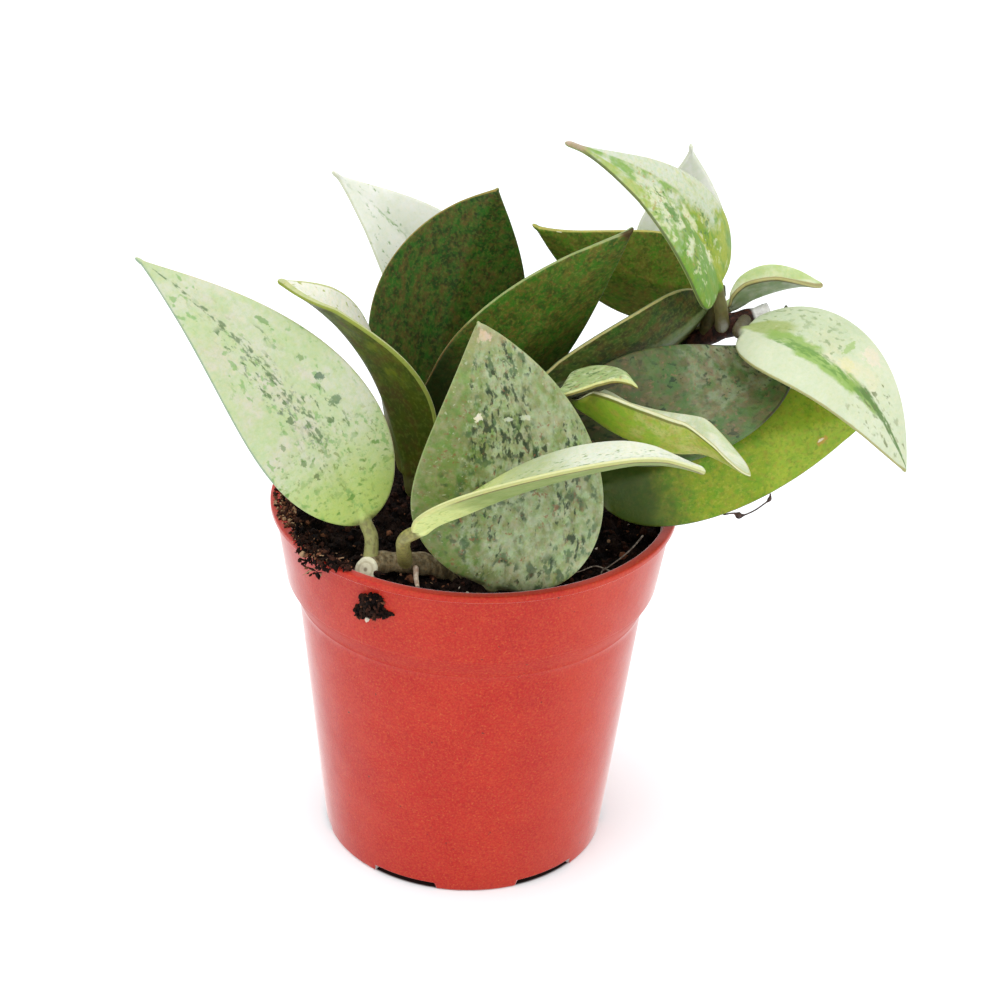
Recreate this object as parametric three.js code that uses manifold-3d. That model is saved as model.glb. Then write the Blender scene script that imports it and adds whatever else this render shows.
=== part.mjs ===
// A small potted hoya: four rooted cuttings with thick, pointed, channelled leaves in a thin-walled
// terracotta-coloured nursery pot. Millimetres, +Z up, origin at the centre of the pot's foot.
// The front of the plant is towards -Y.
import * as THREE from "three";
import { mergeVertices } from "three/addons/utils/BufferGeometryUtils.js";
import Module from "manifold-3d";

const wasm = await Module();
wasm.setup();

// ---------------------------------------------------------------- driving dimensions (mm)
const GAP = 0.3; // clearance between pieces that touch on the real plant

const POT = {
  height: 56,
  rimRadius: 30, // outer radius of the rim
  collarTopRadius: 29.3, // outer radius of the collar just under the rim
  collarHeight: 12, // with the rim
  collarFootRadius: 27.7, // outer radius at the lower edge of the collar
  bodyTopRadius: 25.9, // outer radius under the shoulder
  footRadius: 21.6, // outer radius at the ground
  wall: 0.9,
  floor: 1, // thickness of the floor
  floorLift: 2.2, // underside of the floor's raised ring above the ground
  padRadius: 6, // the middle of the floor dips to the ground and stands on it
  padSlope: 2, // width of the slope round it
  footWidth: 1.9, // width of the foot ring
  shoulder: 3.3, // height of the slope from the collar in to the body
  lip: 1.2, // height of the rim
  lipRound: 0.3, // how much of its edges is rounded away
  bowl: 2, // height of the hollow corner where the wall meets the floor
  sides: 60,
  footGaps: 6, // drainage gaps in the foot ring
  footGapAngle: 28, // degrees that each gap spans
  footGapHeight: 1.2,
  footGapStart: -53.5, // direction of one gap's middle, degrees
  drainHoles: 6,
  drainHoleRadius: 2.2,
  drainHoleRing: 14.5,
};

const SOIL = {
  level: 52.8, // mean height of the surface
  tilt: 0.065, // rise towards the left for each mm across
  sag: 0.5, // how much lower the surface is at the wall than in the middle
  lump: 0.9, // height of the crumbs and hollows
  margin: 0.25, // further clearance of its uneven edge from the wall
  rings: 11,
  sides: 44,
};

const LEAF = {
  stations: 12, // cross-sections along a blade
  lanes: 6, // facets across a blade
  thickness: 1.15, // at the midrib
  marginThickness: 0.65,
  pointHalfWidth: 0.35, // half width left at the very tip
  fullness: 0.6, // exponent of the rounded base
  taper: 1.05, // exponent of the drawn-out tip
  neck: 2, // length of petiole in line with the midrib below the base
  petiole: 1.15, // radius
  hookFrom: 0.72, // share of the length where a hooked tip starts to dip
  crease: 0.16, // softness of the fold along the midrib, as a share of the half width
  flattens: 4, // half width below which the blade opens flat again, in proportion
};

// Stems: radius and the centre line's points, and those of an aerial root that lies on the soil.
const ROOT_RADIUS = 0.4;
const STEMS = {
  stem_front: {
    radius: 1.55,
    route: [
      [-14.8, -22, 55.3], [-13.6, -20.3, 55.4], [-10, -19.4, 55.2], [-6, -18.6, 54.4], [-1, -16, 50],
      [1, -14, 44],
    ],
    root: [[-8, -19.3, 54.9], [-7.8, -21.1, 55], [-7.7, -22.9, 54.7], [-7.4, -24.7, 54.3]],
  },
  stem_centre: {
    radius: 1.6,
    route: [[-3, 10, 42], [-3.3, 10, 50], [-4, 10, 56], [-4, 10, 62], [-3.6, 10.4, 67.5]],
  },
  stem_right: {
    radius: 1.6,
    route: [
      [12, 12, 42], [13, 12, 50], [19, 11, 63], [25.3, 9.6, 71.8], [32.4, 8.5, 78.8], [36.5, 8, 81.4],
      [42, 9, 83],
    ],
  },
  stem_middle: {
    radius: 1.5,
    route: [[8, -8, 42], [8, -8, 50], [9, -8.5, 60], [9.5, -9, 70], [9, -8.5, 77]],
  },
};

// A clump of soil stuck to the outside of the collar: direction in degrees, height and radius of each
// crumb.
const CLUMP = [
  [-122.5, 52.2, 1.3],
  [-119.5, 51.4, 1.7],
  [-116.2, 51.9, 1.8],
  [-113, 51.2, 1.5],
  [-117.5, 49.9, 1.3],
  [-110.8, 52.3, 1.1],
  [-115, 53.4, 1.2],
];

// Leaves. joint is where the petiole leaves the stem's axis; base, bend and tip are the midrib's start,
// middle and end; faces is the direction that the upper side looks to, and facesTip the same at the tip of
// a blade that twists; width is across the widest part; fold is how far each half rises from flat, in
// degrees, and foldTip the same at the tip; curl turns the margins back down, as a share of the half
// width; hook is how far the tip dips; neck is how far below the base the petiole has come into line with
// the midrib; fullness and taper replace the usual outline.
const LEAVES = {
  leaf_01_front_left: {
    stem: "stem_front", joint: [-14.2, -20.6, 55.3], base: [-15, -19, 61], bend: [-27.4, -13.3, 79],
    tip: [-47.5, -8, 95], faces: [0.25, -0.75, 0.6], width: 19.5, fold: 10, curl: 0.05, taper: 1.15,
  },
  leaf_02_left_back: {
    stem: "stem_centre", joint: [-3.9, 10, 54.3], base: [-9.5, -3, 60], bend: [-16, -4, 79.6],
    tip: [-28, -8, 92.5], faces: [0.6, 0.75, 0.3], facesTip: [0.2, -0.3, 1], width: 15.5, fold: 22,
    foldTip: 42,
  },
  leaf_03_back: {
    stem: "stem_centre", joint: [-3.7, 10.3, 66], base: [0, 15, 75.5], bend: [-10, 18, 87.2],
    tip: [-22.4, 18, 99], faces: [-0.1, -0.6, 0.8], width: 17, fold: 12, taper: 1.3, neck: 3,
  },
  leaf_04_centre: {
    stem: "stem_centre", joint: [-4, 10, 61], base: [-7, 5, 63.5], bend: [-3.7, 7.5, 85.4],
    tip: [1.8, 6, 101.8], faces: [0, 0.95, 0.2], width: 23, fold: 10, taper: 1.05,
  },
  leaf_05_centre_right: {
    stem: "stem_centre", joint: [-4, 10, 56.8], base: [-5, -2, 66], bend: [6, -2, 82],
    tip: [20.5, -4, 100.5], faces: [-0.4, 0.9, 0.1], width: 20, fold: 12,
  },
  leaf_06_back_right: {
    stem: "stem_right", joint: [29.2, 9.5, 75.7], base: [33.2, 15, 84], bend: [20.6, 16, 85.8],
    tip: [7, 14, 93.5], faces: [0, 0.95, 0.2], width: 16, fold: 12, taper: 1.2,
  },
  leaf_07_front: {
    stem: "stem_middle", joint: [8, -8, 57], base: [2.7, -24, 54.2], bend: [4.3, -22.5, 73.2],
    tip: [-0.4, -18, 91.8], faces: [0, -1, 0.25], width: 26.5, fold: 8, curl: 0.04, fullness: 0.5,
    taper: 0.95, neck: 0.2,
  },
  leaf_08_front_arch: {
    stem: "stem_front", joint: [-9.4, -19.6, 55.3], base: [-7.7, -28, 64.8], bend: [10.6, -33, 76.5],
    tip: [30.2, -31, 79.8], faces: [0, 0.25, 0.97], width: 17, fold: 16, hook: 2.5, taper: 0.85,
  },
  leaf_09_right_arch: {
    stem: "stem_middle", joint: [9.3, -8.8, 71.5], base: [14, -14, 79.2], bend: [24.7, -19, 73.9],
    tip: [34.2, -22, 78], faces: [0, 0.37, 0.93], width: 15.5, fold: 53, hook: 5.5, neck: 0.5,
    fullness: 0.5, taper: 0.8,
  },
  leaf_10_small_arch: {
    stem: "stem_middle", joint: [9, -8.5, 76], base: [10.2, -13, 79], bend: [16.4, -15, 82],
    tip: [21.4, -17, 83], faces: [0, 0.28, 0.96], width: 14, fold: 15, hook: 1, neck: 1,
  },
  leaf_11_long_dark: {
    stem: "stem_right", joint: [32.9, 8.2, 79.3], base: [33, 7.6, 85.6], bend: [23.6, 1, 79.9],
    tip: [7.3, -5.0, 76.1], faces: [0, 0.84, 0.55], width: 16.5, fold: 17, taper: 0.7, neck: 0.6,
  },
  leaf_12_shaded: {
    stem: "stem_middle", joint: [9.3, -8.8, 69], base: [16.2, -7.5, 72.8], bend: [37.0, -3.0, 76.7],
    tip: [44.7, 12.0, 83.0], faces: [0.2, -0.75, 0.6], facesTip: [0, -0.3, 0.95], width: 18, fold: 12,
    fullness: 0.5, taper: 1.45,
  },
  leaf_13_low_right: {
    stem: "stem_middle", joint: [8.4, -8.2, 60.5], base: [17.2, -10, 63.1], bend: [37, -7, 68.7],
    tip: [57.5, 0, 73.2], faces: [0, 1, -0.4], width: 19, fold: 20, fullness: 0.45, taper: 0.8,
  },
  leaf_14_far_right: {
    stem: "stem_right", joint: [38.6, 8.3, 82.2], base: [37.2, 1.5, 83.1], bend: [50.1, -7, 82.2],
    tip: [60.1, -14, 69.5], faces: [0, -0.25, 0.97], width: 18, fold: 6, curl: 0.1, fullness: 0.5,
    taper: 0.95, neck: 0.3,
  },
  leaf_15_right_arch: {
    stem: "stem_right", joint: [35.3, 8, 80.9], base: [35.8, 10, 83.2], bend: [42.6, 11, 86.3],
    tip: [50.2, 13, 86.8], faces: [0, 0.34, 0.94], facesTip: [0, -0.3, 0.95], width: 8.5, fold: 50,
    hook: 1, neck: 0.6,
  },
  leaf_16_splashed: {
    stem: "stem_right", joint: [35.2, 8.1, 80.7], base: [33.5, 2.5, 88.9], bend: [25.8, -1, 102.9],
    tip: [10.5, -4, 112.4], faces: [0.75, -0.4, 0.5], width: 18, fold: 10, curl: 0.1, fullness: 0.42,
    taper: 1.45, neck: 4,
  },
  leaf_17_far_back: {
    stem: "stem_right", joint: [26, 9.5, 72.5], base: [28.5, 21, 80.8], bend: [30, 23, 93.5],
    tip: [29.7, 20, 104.4], faces: [0, -0.8, 0.6], width: 14, fold: 8, taper: 1.5, neck: 5.5,
  },
};

// ---------------------------------------------------------------- materials
const material = (color, roughness) => new THREE.MeshStandardMaterial({ color, roughness, metalness: 0 });
const TERRACOTTA = material(0xc8463a, 0.5);
const PEAT = material(0x2a1c15, 0.95);
const STEM_GREEN = material(0x8a7a4a, 0.7);
const LEAF_SILVER = material(0xa9c292, 0.55);

// ---------------------------------------------------------------- solids
const vector = (p) => new THREE.Vector3(...p);
const radians = THREE.MathUtils.degToRad;

// A manifold-3d solid from a closed three.js geometry.
function solidOf(geometry) {
  const bare = geometry.clone();
  for (const name of ["normal", "uv"]) bare.deleteAttribute(name);
  const merged = mergeVertices(bare, 1e-4);
  return new wasm.Manifold(
    new wasm.Mesh({
      numProp: 3,
      vertProperties: merged.attributes.position.array,
      triVerts: new Uint32Array(merged.index.array),
    }),
  );
}

// A three.js geometry from a manifold-3d solid.
function geometryOf(solid) {
  const mesh = solid.getMesh();
  return new THREE.BufferGeometry()
    .setAttribute("position", new THREE.BufferAttribute(mesh.vertProperties, 3))
    .setIndex(new THREE.BufferAttribute(mesh.triVerts, 1));
}

// Rings of points, all with the same count, joined into one closed skin. splitLikeTop(j) says which way the
// quad after point j is cut, so that the two faces of a thin blade are cut alike.
function loft(rings, splitLikeTop = () => true) {
  const count = rings[0].length;
  const positions = rings.flat().flatMap((p) => p.toArray());
  const index = [];
  for (let i = 0; i + 1 < rings.length; i++) {
    for (let j = 0; j < count; j++) {
      const a = i * count + j;
      const b = i * count + ((j + 1) % count);
      const [c, d] = [a + count, b + count];
      if (splitLikeTop(j)) index.push(a, b, d, a, d, c);
      else index.push(a, b, c, b, d, c);
    }
  }
  for (const [ring, forward] of [[0, false], [rings.length - 1, true]]) {
    const middle = rings[ring].reduce((sum, p) => sum.add(p), new THREE.Vector3()).divideScalar(count);
    const hub = positions.length / 3;
    positions.push(...middle.toArray());
    for (let j = 0; j < count; j++) {
      const a = ring * count + j;
      const b = ring * count + ((j + 1) % count);
      index.push(...(forward ? [a, b, hub] : [b, a, hub]));
    }
  }
  return new THREE.BufferGeometry()
    .setAttribute("position", new THREE.Float32BufferAttribute(positions, 3))
    .setIndex(index);
}

// Rings round a smooth curve through points, their radius given at each share of the length.
function rodRings(points, radiusAt, sides, steps) {
  const curve = new THREE.CatmullRomCurve3(points.map(vector));
  const frames = curve.computeFrenetFrames(steps);
  const rings = [];
  for (let i = 0; i <= steps; i++) {
    const centre = curve.getPointAt(i / steps);
    const radius = radiusAt(i / steps);
    rings.push(
      Array.from({ length: sides }, (_, j) => {
        const angle = (2 * Math.PI * j) / sides;
        return centre
          .clone()
          .addScaledVector(frames.normals[i], radius * Math.cos(angle))
          .addScaledVector(frames.binormals[i], radius * Math.sin(angle));
      }),
    );
  }
  return rings;
}

const rod = (...shape) => solidOf(loft(rodRings(...shape)));

// A rod whose bends may be tighter than it is thick: the stretch between two rings is their hull, so the
// skin never crosses itself on the inside of a bend.
function bentRod(...shape) {
  const rings = rodRings(...shape);
  const stretches = rings.slice(1).map((ring, i) => {
    return wasm.Manifold.hull([...rings[i], ...ring].map((p) => p.toArray()));
  });
  return stretches.reduce((all, stretch) => all.add(stretch));
}

// A stem with its aerial root, if it has one, all of it thicker by grown.
function stemSolid(stem, grown) {
  const solid = rod(stem.route, () => stem.radius + grown, 12, 16);
  if (!stem.root) return solid;
  return solid.add(rod(stem.root, (u) => ROOT_RADIUS * (1.2 - 0.5 * u) + grown, 6, 6));
}

// The largest body of a solid, without the chips of no volume that a union can leave beside it.
function mainBody(solid) {
  return solid.decompose().reduce((best, body) => (body.volume() > best.volume() ? body : best));
}

// ---------------------------------------------------------------- leaves
// Half width at share t of the length: t^a (1-t)^b, scaled so that its largest value is half the width.
function halfWidth(leaf, t) {
  const [a, b] = [leaf.fullness ?? LEAF.fullness, leaf.taper ?? LEAF.taper];
  const widest = a / (a + b);
  const shape = (x) => x ** a * (1 - x) ** b;
  return ((leaf.width / 2) * shape(t)) / shape(widest);
}

// The midrib is a parabola from base through bend to tip, and its last stretch dips by hook.
function midrib(leaf, t) {
  const [base, bend, tip] = [leaf.base, leaf.bend, leaf.tip].map(vector);
  const control = bend.clone().multiplyScalar(2).addScaledVector(base, -0.5).addScaledVector(tip, -0.5);
  return new THREE.QuadraticBezierCurve3(base, control, tip).getPoint(t);
}

// Forward, sideways and upper-side directions of the blade at share t.
function bladeFrame(leaf, t) {
  const step = 0.01;
  const from = midrib(leaf, Math.max(0, t - step));
  const forward = midrib(leaf, Math.min(1, t + step)).sub(from).normalize();
  const faces = vector(leaf.faces).normalize().lerp(vector(leaf.facesTip ?? leaf.faces).normalize(), t);
  const upper = faces.addScaledVector(forward, -faces.dot(forward)).normalize();
  return { forward, upper, side: new THREE.Vector3().crossVectors(forward, upper) };
}

// Where the blade's middle surface is, and its normal there, at share t of the length and s (-1 to 1)
// across. The two halves rise by the fold, round the crease, and the margins turn down by the curl.
function bladePoint(leaf, t, s) {
  const half = Math.max(halfWidth(leaf, t), LEAF.pointHalfWidth);
  const { upper, side } = bladeFrame(leaf, t);
  const open = Math.min(1, half / LEAF.flattens);
  const fold = open * radians(THREE.MathUtils.lerp(leaf.fold, leaf.foldTip ?? leaf.fold, t));
  const curl = leaf.curl ?? 0;
  const round = Math.hypot(s, LEAF.crease);
  const across = half * s * Math.cos(fold);
  const rise = half * ((round - LEAF.crease) * Math.sin(fold) - curl * s ** 4);
  const slope = ((s / round) * Math.sin(fold) - 4 * curl * s ** 3) / Math.cos(fold);
  const dip = (leaf.hook ?? 0) * Math.max(0, (t - LEAF.hookFrom) / (1 - LEAF.hookFrom)) ** 2;
  const point = midrib(leaf, t).addScaledVector(side, across).addScaledVector(upper, rise - dip);
  const normal = upper.clone().addScaledVector(side, -slope).normalize();
  return { point, normal };
}

function blade(leaf) {
  const rings = [];
  for (let i = 0; i <= LEAF.stations; i++) {
    const t = 0.5 - 0.5 * Math.cos((Math.PI * i) / LEAF.stations);
    const lanes = Array.from({ length: LEAF.lanes + 1 }, (_, k) => -1 + (2 * k) / LEAF.lanes);
    const skin = lanes.map((s) => {
      const thick = THREE.MathUtils.lerp(LEAF.thickness, LEAF.marginThickness, s * s);
      return { ...bladePoint(leaf, t, s), thick };
    });
    const face = (sign) => skin.map((k) => k.point.clone().addScaledVector(k.normal, (sign * k.thick) / 2));
    rings.push([...face(1), ...face(-1).reverse()]);
  }
  return solidOf(loft(rings, (j) => j < LEAF.lanes));
}

// The petiole runs from its joint on the stem into the blade's base.
function petiole(leaf) {
  const { forward } = bladeFrame(leaf, 0);
  const base = vector(leaf.base);
  const joint = vector(leaf.joint);
  const neck = base.clone().addScaledVector(forward, -(leaf.neck ?? LEAF.neck));
  const inside = midrib(leaf, 0.05);
  const route = [joint, neck, base, inside].map((p) => p.toArray());
  return bentRod(route, (u) => LEAF.petiole * (1.1 - 0.3 * u), 8, 7);
}

// ---------------------------------------------------------------- pot
const COLLAR_FOOT = POT.height - POT.collarHeight;

// Outer radius of the collar at height z.
function collarRadius(z) {
  const share = (z - COLLAR_FOOT) / (POT.collarHeight - POT.lip);
  return THREE.MathUtils.lerp(POT.collarFootRadius, POT.collarTopRadius, share);
}

// Outline of the pot's wall and floor, from the axis under the floor round to the axis on top of it.
function potProfile() {
  const p = POT;
  const innerTop = p.collarTopRadius - p.wall;
  const innerFoot = p.footRadius - p.wall;
  const ringTop = p.floorLift + p.floor;
  return [
    [0, 0],
    [p.padRadius, 0],
    [p.padRadius + p.padSlope, p.floorLift],
    [p.footRadius - 1.3 * p.footWidth, p.floorLift],
    [p.footRadius - p.footWidth, 0],
    [p.footRadius, 0],
    [p.bodyTopRadius, COLLAR_FOOT - p.shoulder],
    [p.collarFootRadius, COLLAR_FOOT],
    [p.collarTopRadius, p.height - p.lip],
    [p.rimRadius, p.height - p.lip + p.lipRound],
    [p.rimRadius, p.height - p.lipRound],
    [p.rimRadius - p.lipRound, p.height],
    [innerTop + p.lipRound, p.height],
    [innerTop, p.height - p.lipRound],
    [p.collarFootRadius - p.wall, COLLAR_FOOT + 0.1 * p.shoulder],
    [p.bodyTopRadius - p.wall, COLLAR_FOOT - 0.9 * p.shoulder],
    [innerFoot + 0.1 * p.bowl, p.floorLift + p.bowl],
    [innerFoot - 0.5 * p.bowl, ringTop],
    [p.padRadius + p.padSlope, ringTop],
    [p.padRadius, p.floor],
    [0, p.floor],
  ];
}

function pot() {
  const outline = potProfile().map(([r, z]) => new THREE.Vector2(r, z));
  const turned = new THREE.LatheGeometry(outline, POT.sides).rotateX(Math.PI / 2);
  let solid = solidOf(turned);
  for (let i = 0; i < POT.footGaps; i++) {
    const angle = radians(POT.footGapStart + (360 / POT.footGaps) * i);
    const width = 2 * POT.footRadius * Math.sin(radians(POT.footGapAngle / 2));
    const gap = new THREE.BoxGeometry(4 * POT.footWidth, width, 2 * POT.footGapHeight);
    solid = solid.subtract(solidOf(gap.translate(POT.footRadius, 0, 0).rotateZ(angle)));
  }
  const middle = POT.floorLift + POT.floor / 2;
  for (let i = 0; i < POT.drainHoles; i++) {
    const angle = radians(POT.footGapStart + (360 / POT.drainHoles) * (i + 0.5));
    const hole = new THREE.CylinderGeometry(POT.drainHoleRadius, POT.drainHoleRadius, 4 * POT.floor, 16)
      .rotateX(Math.PI / 2)
      .translate(POT.drainHoleRing * Math.cos(angle), POT.drainHoleRing * Math.sin(angle), middle);
    solid = solid.subtract(solidOf(hole));
  }
  return solid;
}

// ---------------------------------------------------------------- soil
// Height of the soil at a place: a low dome with crumbs and hollows made of crossed waves.
function soilHeight(x, y) {
  const out = Math.hypot(x, y) / POT.rimRadius;
  const lumps =
    Math.sin(0.71 * x + 1.3) * Math.cos(0.63 * y - 0.4) +
    0.6 * Math.sin(1.37 * x - 0.9 * y + 2.1) +
    0.4 * Math.cos(1.9 * y + 0.8 * x);
  return SOIL.level - SOIL.tilt * x - SOIL.sag * out * out + (SOIL.lump / 2) * lumps;
}

// Radius of the pot's hollow at height z, less the clearance that the soil keeps from the wall.
function hollow(z) {
  const clear = POT.wall + GAP + SOIL.margin;
  if (z > COLLAR_FOOT) return collarRadius(z) - clear;
  const share = Math.min(1, z / (COLLAR_FOOT - POT.shoulder));
  return THREE.MathUtils.lerp(POT.footRadius, POT.bodyTopRadius, share) - clear;
}

function soil() {
  const pad = POT.floor + GAP;
  const floor = POT.floorLift + pad;
  const corner = floor + POT.bowl;
  const neck = COLLAR_FOOT - 1.2 * POT.shoulder;
  const chest = COLLAR_FOOT + 0.3 * POT.shoulder;
  const around = (place) =>
    Array.from({ length: SOIL.sides }, (_, j) => {
      const angle = (2 * Math.PI * j) / SOIL.sides;
      return new THREE.Vector3(...place(Math.cos(angle), Math.sin(angle)));
    });
  const ring = (radius, z) => around((cos, sin) => [radius * cos, radius * sin, z]);
  // A ring of the surface, at a share of the way from the middle to the wall.
  const reach = hollow(SOIL.level);
  const surface = (share) =>
    around((cos, sin) => {
      const radius = share * hollow(soilHeight(reach * cos, reach * sin));
      return [radius * cos, radius * sin, soilHeight(radius * cos, radius * sin)];
    });
  const rings = [
    ring(POT.padRadius - GAP, pad),
    ring(POT.padRadius + POT.padSlope - GAP, floor),
    ring(hollow(corner) - POT.bowl, floor),
    ring(hollow(corner), corner),
    ring(hollow(neck), neck),
    ring(hollow(chest), chest),
  ];
  for (let i = 0; i < SOIL.rings; i++) rings.push(surface(1 - i / SOIL.rings));
  return solidOf(loft(rings));
}

// The crumbs of the clump run into each other, and a copy of the collar, larger by the gap, cuts them.
function clump() {
  const outline = [
    [0, COLLAR_FOOT],
    [POT.collarFootRadius + GAP, COLLAR_FOOT],
    [POT.collarTopRadius + GAP, POT.height - POT.lip],
    [POT.rimRadius + GAP, POT.height],
    [0, POT.height],
  ];
  const points = outline.map(([r, z]) => new THREE.Vector2(r, z));
  const collar = solidOf(new THREE.LatheGeometry(points, POT.sides).rotateX(Math.PI / 2));
  const crumbs = CLUMP.map(([degrees, z, radius], i) => {
    const angle = radians(degrees);
    const out = collarRadius(z) + GAP;
    const crumb = new THREE.IcosahedronGeometry(radius).rotateZ(i).rotateX(2 * i);
    return solidOf(crumb.translate(out * Math.cos(angle), out * Math.sin(angle), z));
  });
  return crumbs.reduce((all, crumb) => all.add(crumb)).subtract(collar);
}

// ---------------------------------------------------------------- the plant, put together
const plant = new THREE.Group();

function add(name, solid, finish) {
  const mesh = new THREE.Mesh(geometryOf(solid), finish);
  mesh.name = name;
  plant.add(mesh);
}

const stems = {};
const sleeves = {}; // each stem with the clearance that its neighbours keep from it
for (const [name, stem] of Object.entries(STEMS)) {
  stems[name] = stemSolid(stem, 0);
  sleeves[name] = stemSolid(stem, GAP);
}

let ground = soil();
for (const sleeve of Object.values(sleeves)) ground = ground.subtract(sleeve);

add("pot", pot(), TERRACOTTA);
add("soil", ground, PEAT);
add("soil_clump", clump(), PEAT);
for (const [name, stem] of Object.entries(stems)) add(name, stem, STEM_GREEN);
for (const [name, leaf] of Object.entries(LEAVES)) {
  add(name, mainBody(blade(leaf).add(petiole(leaf)).subtract(sleeves[leaf.stem])), LEAF_SILVER);
}

export default plant;
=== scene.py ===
"""A small potted hoya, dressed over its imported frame: a thin terracotta-coloured nursery pot, dark crumbly
soil, four rooted cuttings and seventeen thick, pointed, channelled leaves with flecks and splashes.

Shapes are worked out in millimetres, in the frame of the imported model, and become metres in build_mesh.
"""
import math

import bmesh
import bpy
import numpy as np
from mathutils import Matrix, Vector


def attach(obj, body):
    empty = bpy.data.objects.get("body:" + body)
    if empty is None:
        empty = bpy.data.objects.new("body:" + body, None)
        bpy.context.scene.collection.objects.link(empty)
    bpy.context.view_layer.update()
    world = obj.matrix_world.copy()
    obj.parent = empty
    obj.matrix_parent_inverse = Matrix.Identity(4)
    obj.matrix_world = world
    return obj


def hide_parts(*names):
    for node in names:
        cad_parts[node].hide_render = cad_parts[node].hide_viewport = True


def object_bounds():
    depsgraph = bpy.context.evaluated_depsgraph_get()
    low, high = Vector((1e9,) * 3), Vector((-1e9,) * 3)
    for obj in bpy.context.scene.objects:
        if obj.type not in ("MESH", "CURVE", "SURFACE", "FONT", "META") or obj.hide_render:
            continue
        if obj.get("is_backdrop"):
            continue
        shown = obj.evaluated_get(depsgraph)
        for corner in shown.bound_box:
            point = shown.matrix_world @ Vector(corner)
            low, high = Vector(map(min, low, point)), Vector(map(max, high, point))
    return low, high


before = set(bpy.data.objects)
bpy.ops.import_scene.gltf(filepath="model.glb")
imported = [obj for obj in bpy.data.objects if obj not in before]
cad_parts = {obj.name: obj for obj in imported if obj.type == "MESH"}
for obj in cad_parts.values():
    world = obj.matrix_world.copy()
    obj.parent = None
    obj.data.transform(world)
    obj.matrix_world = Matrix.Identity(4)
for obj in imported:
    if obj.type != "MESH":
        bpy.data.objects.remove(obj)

CAD_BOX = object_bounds()
MM = 0.001

# ------------------------------------------------------------------ dimensions of the frame, in mm
RIM_RADIUS = 30.0
RIM_HEIGHT = 1.2
POT_HEIGHT = 56.0
COLLAR_FOOT = 44.0
COLLAR_TOP_RADIUS = 29.3
COLLAR_FOOT_RADIUS = 27.7
SHOULDER = 3.3  # height of the slope from the collar in to the body
BODY_TOP_RADIUS = 25.9
FOOT_RADIUS = 21.6
WALL = 0.9
FLOOR_UNDER = 2.2  # underside of the pot's floor
FLOOR_TOP = 3.2
FLOOR_EDGE_UNDER = FOOT_RADIUS - 2.47  # radius where the floor ends, below
FLOOR_EDGE_TOP = 19.7  # and above
HOLLOW_FOOT = 4.2  # height from which the wall of the hollow rises straight
HOLLOW_FOOT_OUT = FOOT_RADIUS + 0.2  # radius outside the wall there
HOLLOW_SHOULDER_FOOT = COLLAR_FOOT - 0.9 * SHOULDER  # the hollow's own slope under the collar
HOLLOW_SHOULDER_TOP = COLLAR_FOOT + 0.1 * SHOULDER
PAD_RADIUS = 6.0  # the middle of the floor dips to the ground
PAD_SLOPE_RADIUS = 8.0
FOOT_GAPS = 6
FOOT_GAP_START = -53.5  # direction of one gap's middle, degrees
FOOT_GAP_HALF = 14.0  # half of a gap's span, degrees
FOOT_GAP_HEIGHT = 1.2
HOLE_RING = 14.5
HOLE_RADIUS = 2.2

PETIOLE_RADIUS = 1.15
BLADE_THICKNESS = 1.15
MARGIN_THICKNESS = 0.65
POINT_HALF_WIDTH = 0.35
CREASE = 0.16
FLATTENS = 4.0  # half width below which the blade opens flat again
HOOK_FROM = 0.72  # share of the length from which a hooked tip dips
TIP_ROUNDING = 0.8  # mm over which the tip is drawn in
PETIOLE_SINKS = 5.0  # mm of blade over which the petiole's circle sinks into it
BLADE_OPENS = 1.5  # mm over which the blade takes up its fold
BLADE_THICKENS = 1.2  # mm over which it takes up its thickness
MIDRIB_REACH = 0.8
GROOVE_DEPTH = 0.26
RIDGE_HEIGHT = 0.35
ON_MARGIN = 0.999999  # share across from which a point belongs to neither face

STEMS = {
    "stem_front": {
        "radius": 1.55,
        "peeled": 0.5,  # mm of bare wood at the cut end
        "facing": (-0.35, -0.85, 0.35),  # where that end looks
        "route": [
            (-14.8, -22, 55.3), (-13.6, -20.3, 55.4), (-10, -19.4, 55.2), (-6, -18.6, 54.4),
            (-1, -16, 50), (1, -14, 44),
        ],
    },
    "stem_centre": {
        "radius": 1.6,
        "route": [(-3, 10, 42), (-3.3, 10, 50), (-4, 10, 56), (-4, 10, 62), (-3.6, 10.4, 67.5)],
    },
    "stem_right": {
        "radius": 1.6,
        "peeled": 2.6,
        "route": [
            (12, 12, 42), (13, 12, 50), (19, 11, 63), (25.3, 9.6, 71.8), (32.4, 8.5, 78.8),
            (36.5, 8, 81.4), (42, 9, 83),
        ],
    },
    "stem_middle": {
        "radius": 1.5,
        "route": [(8, -8, 42), (8, -8, 50), (9, -8.5, 60), (9.5, -9, 70), (9, -8.5, 77)],
    },
}
AERIAL_ROOT = [(-8, -19.3, 54.9), (-7.8, -21.1, 55), (-7.7, -22.9, 54.7), (-7.4, -24.7, 54.3)]
AERIAL_ROOT_RADIUS = 0.4

CLUMP_FOOT = 49.7  # height of the lower edge of the clump on the collar
CLUMP_HEIGHT = 3.7
CLUMP_MIDDLE = -118.6  # its direction, degrees
CLUMP_HALF_WIDTHS = (6.4, 2.7)  # half its span at its foot and at its top, degrees
CLUMP_TILT = 0.17  # how much higher it sits for each degree to the right

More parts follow.
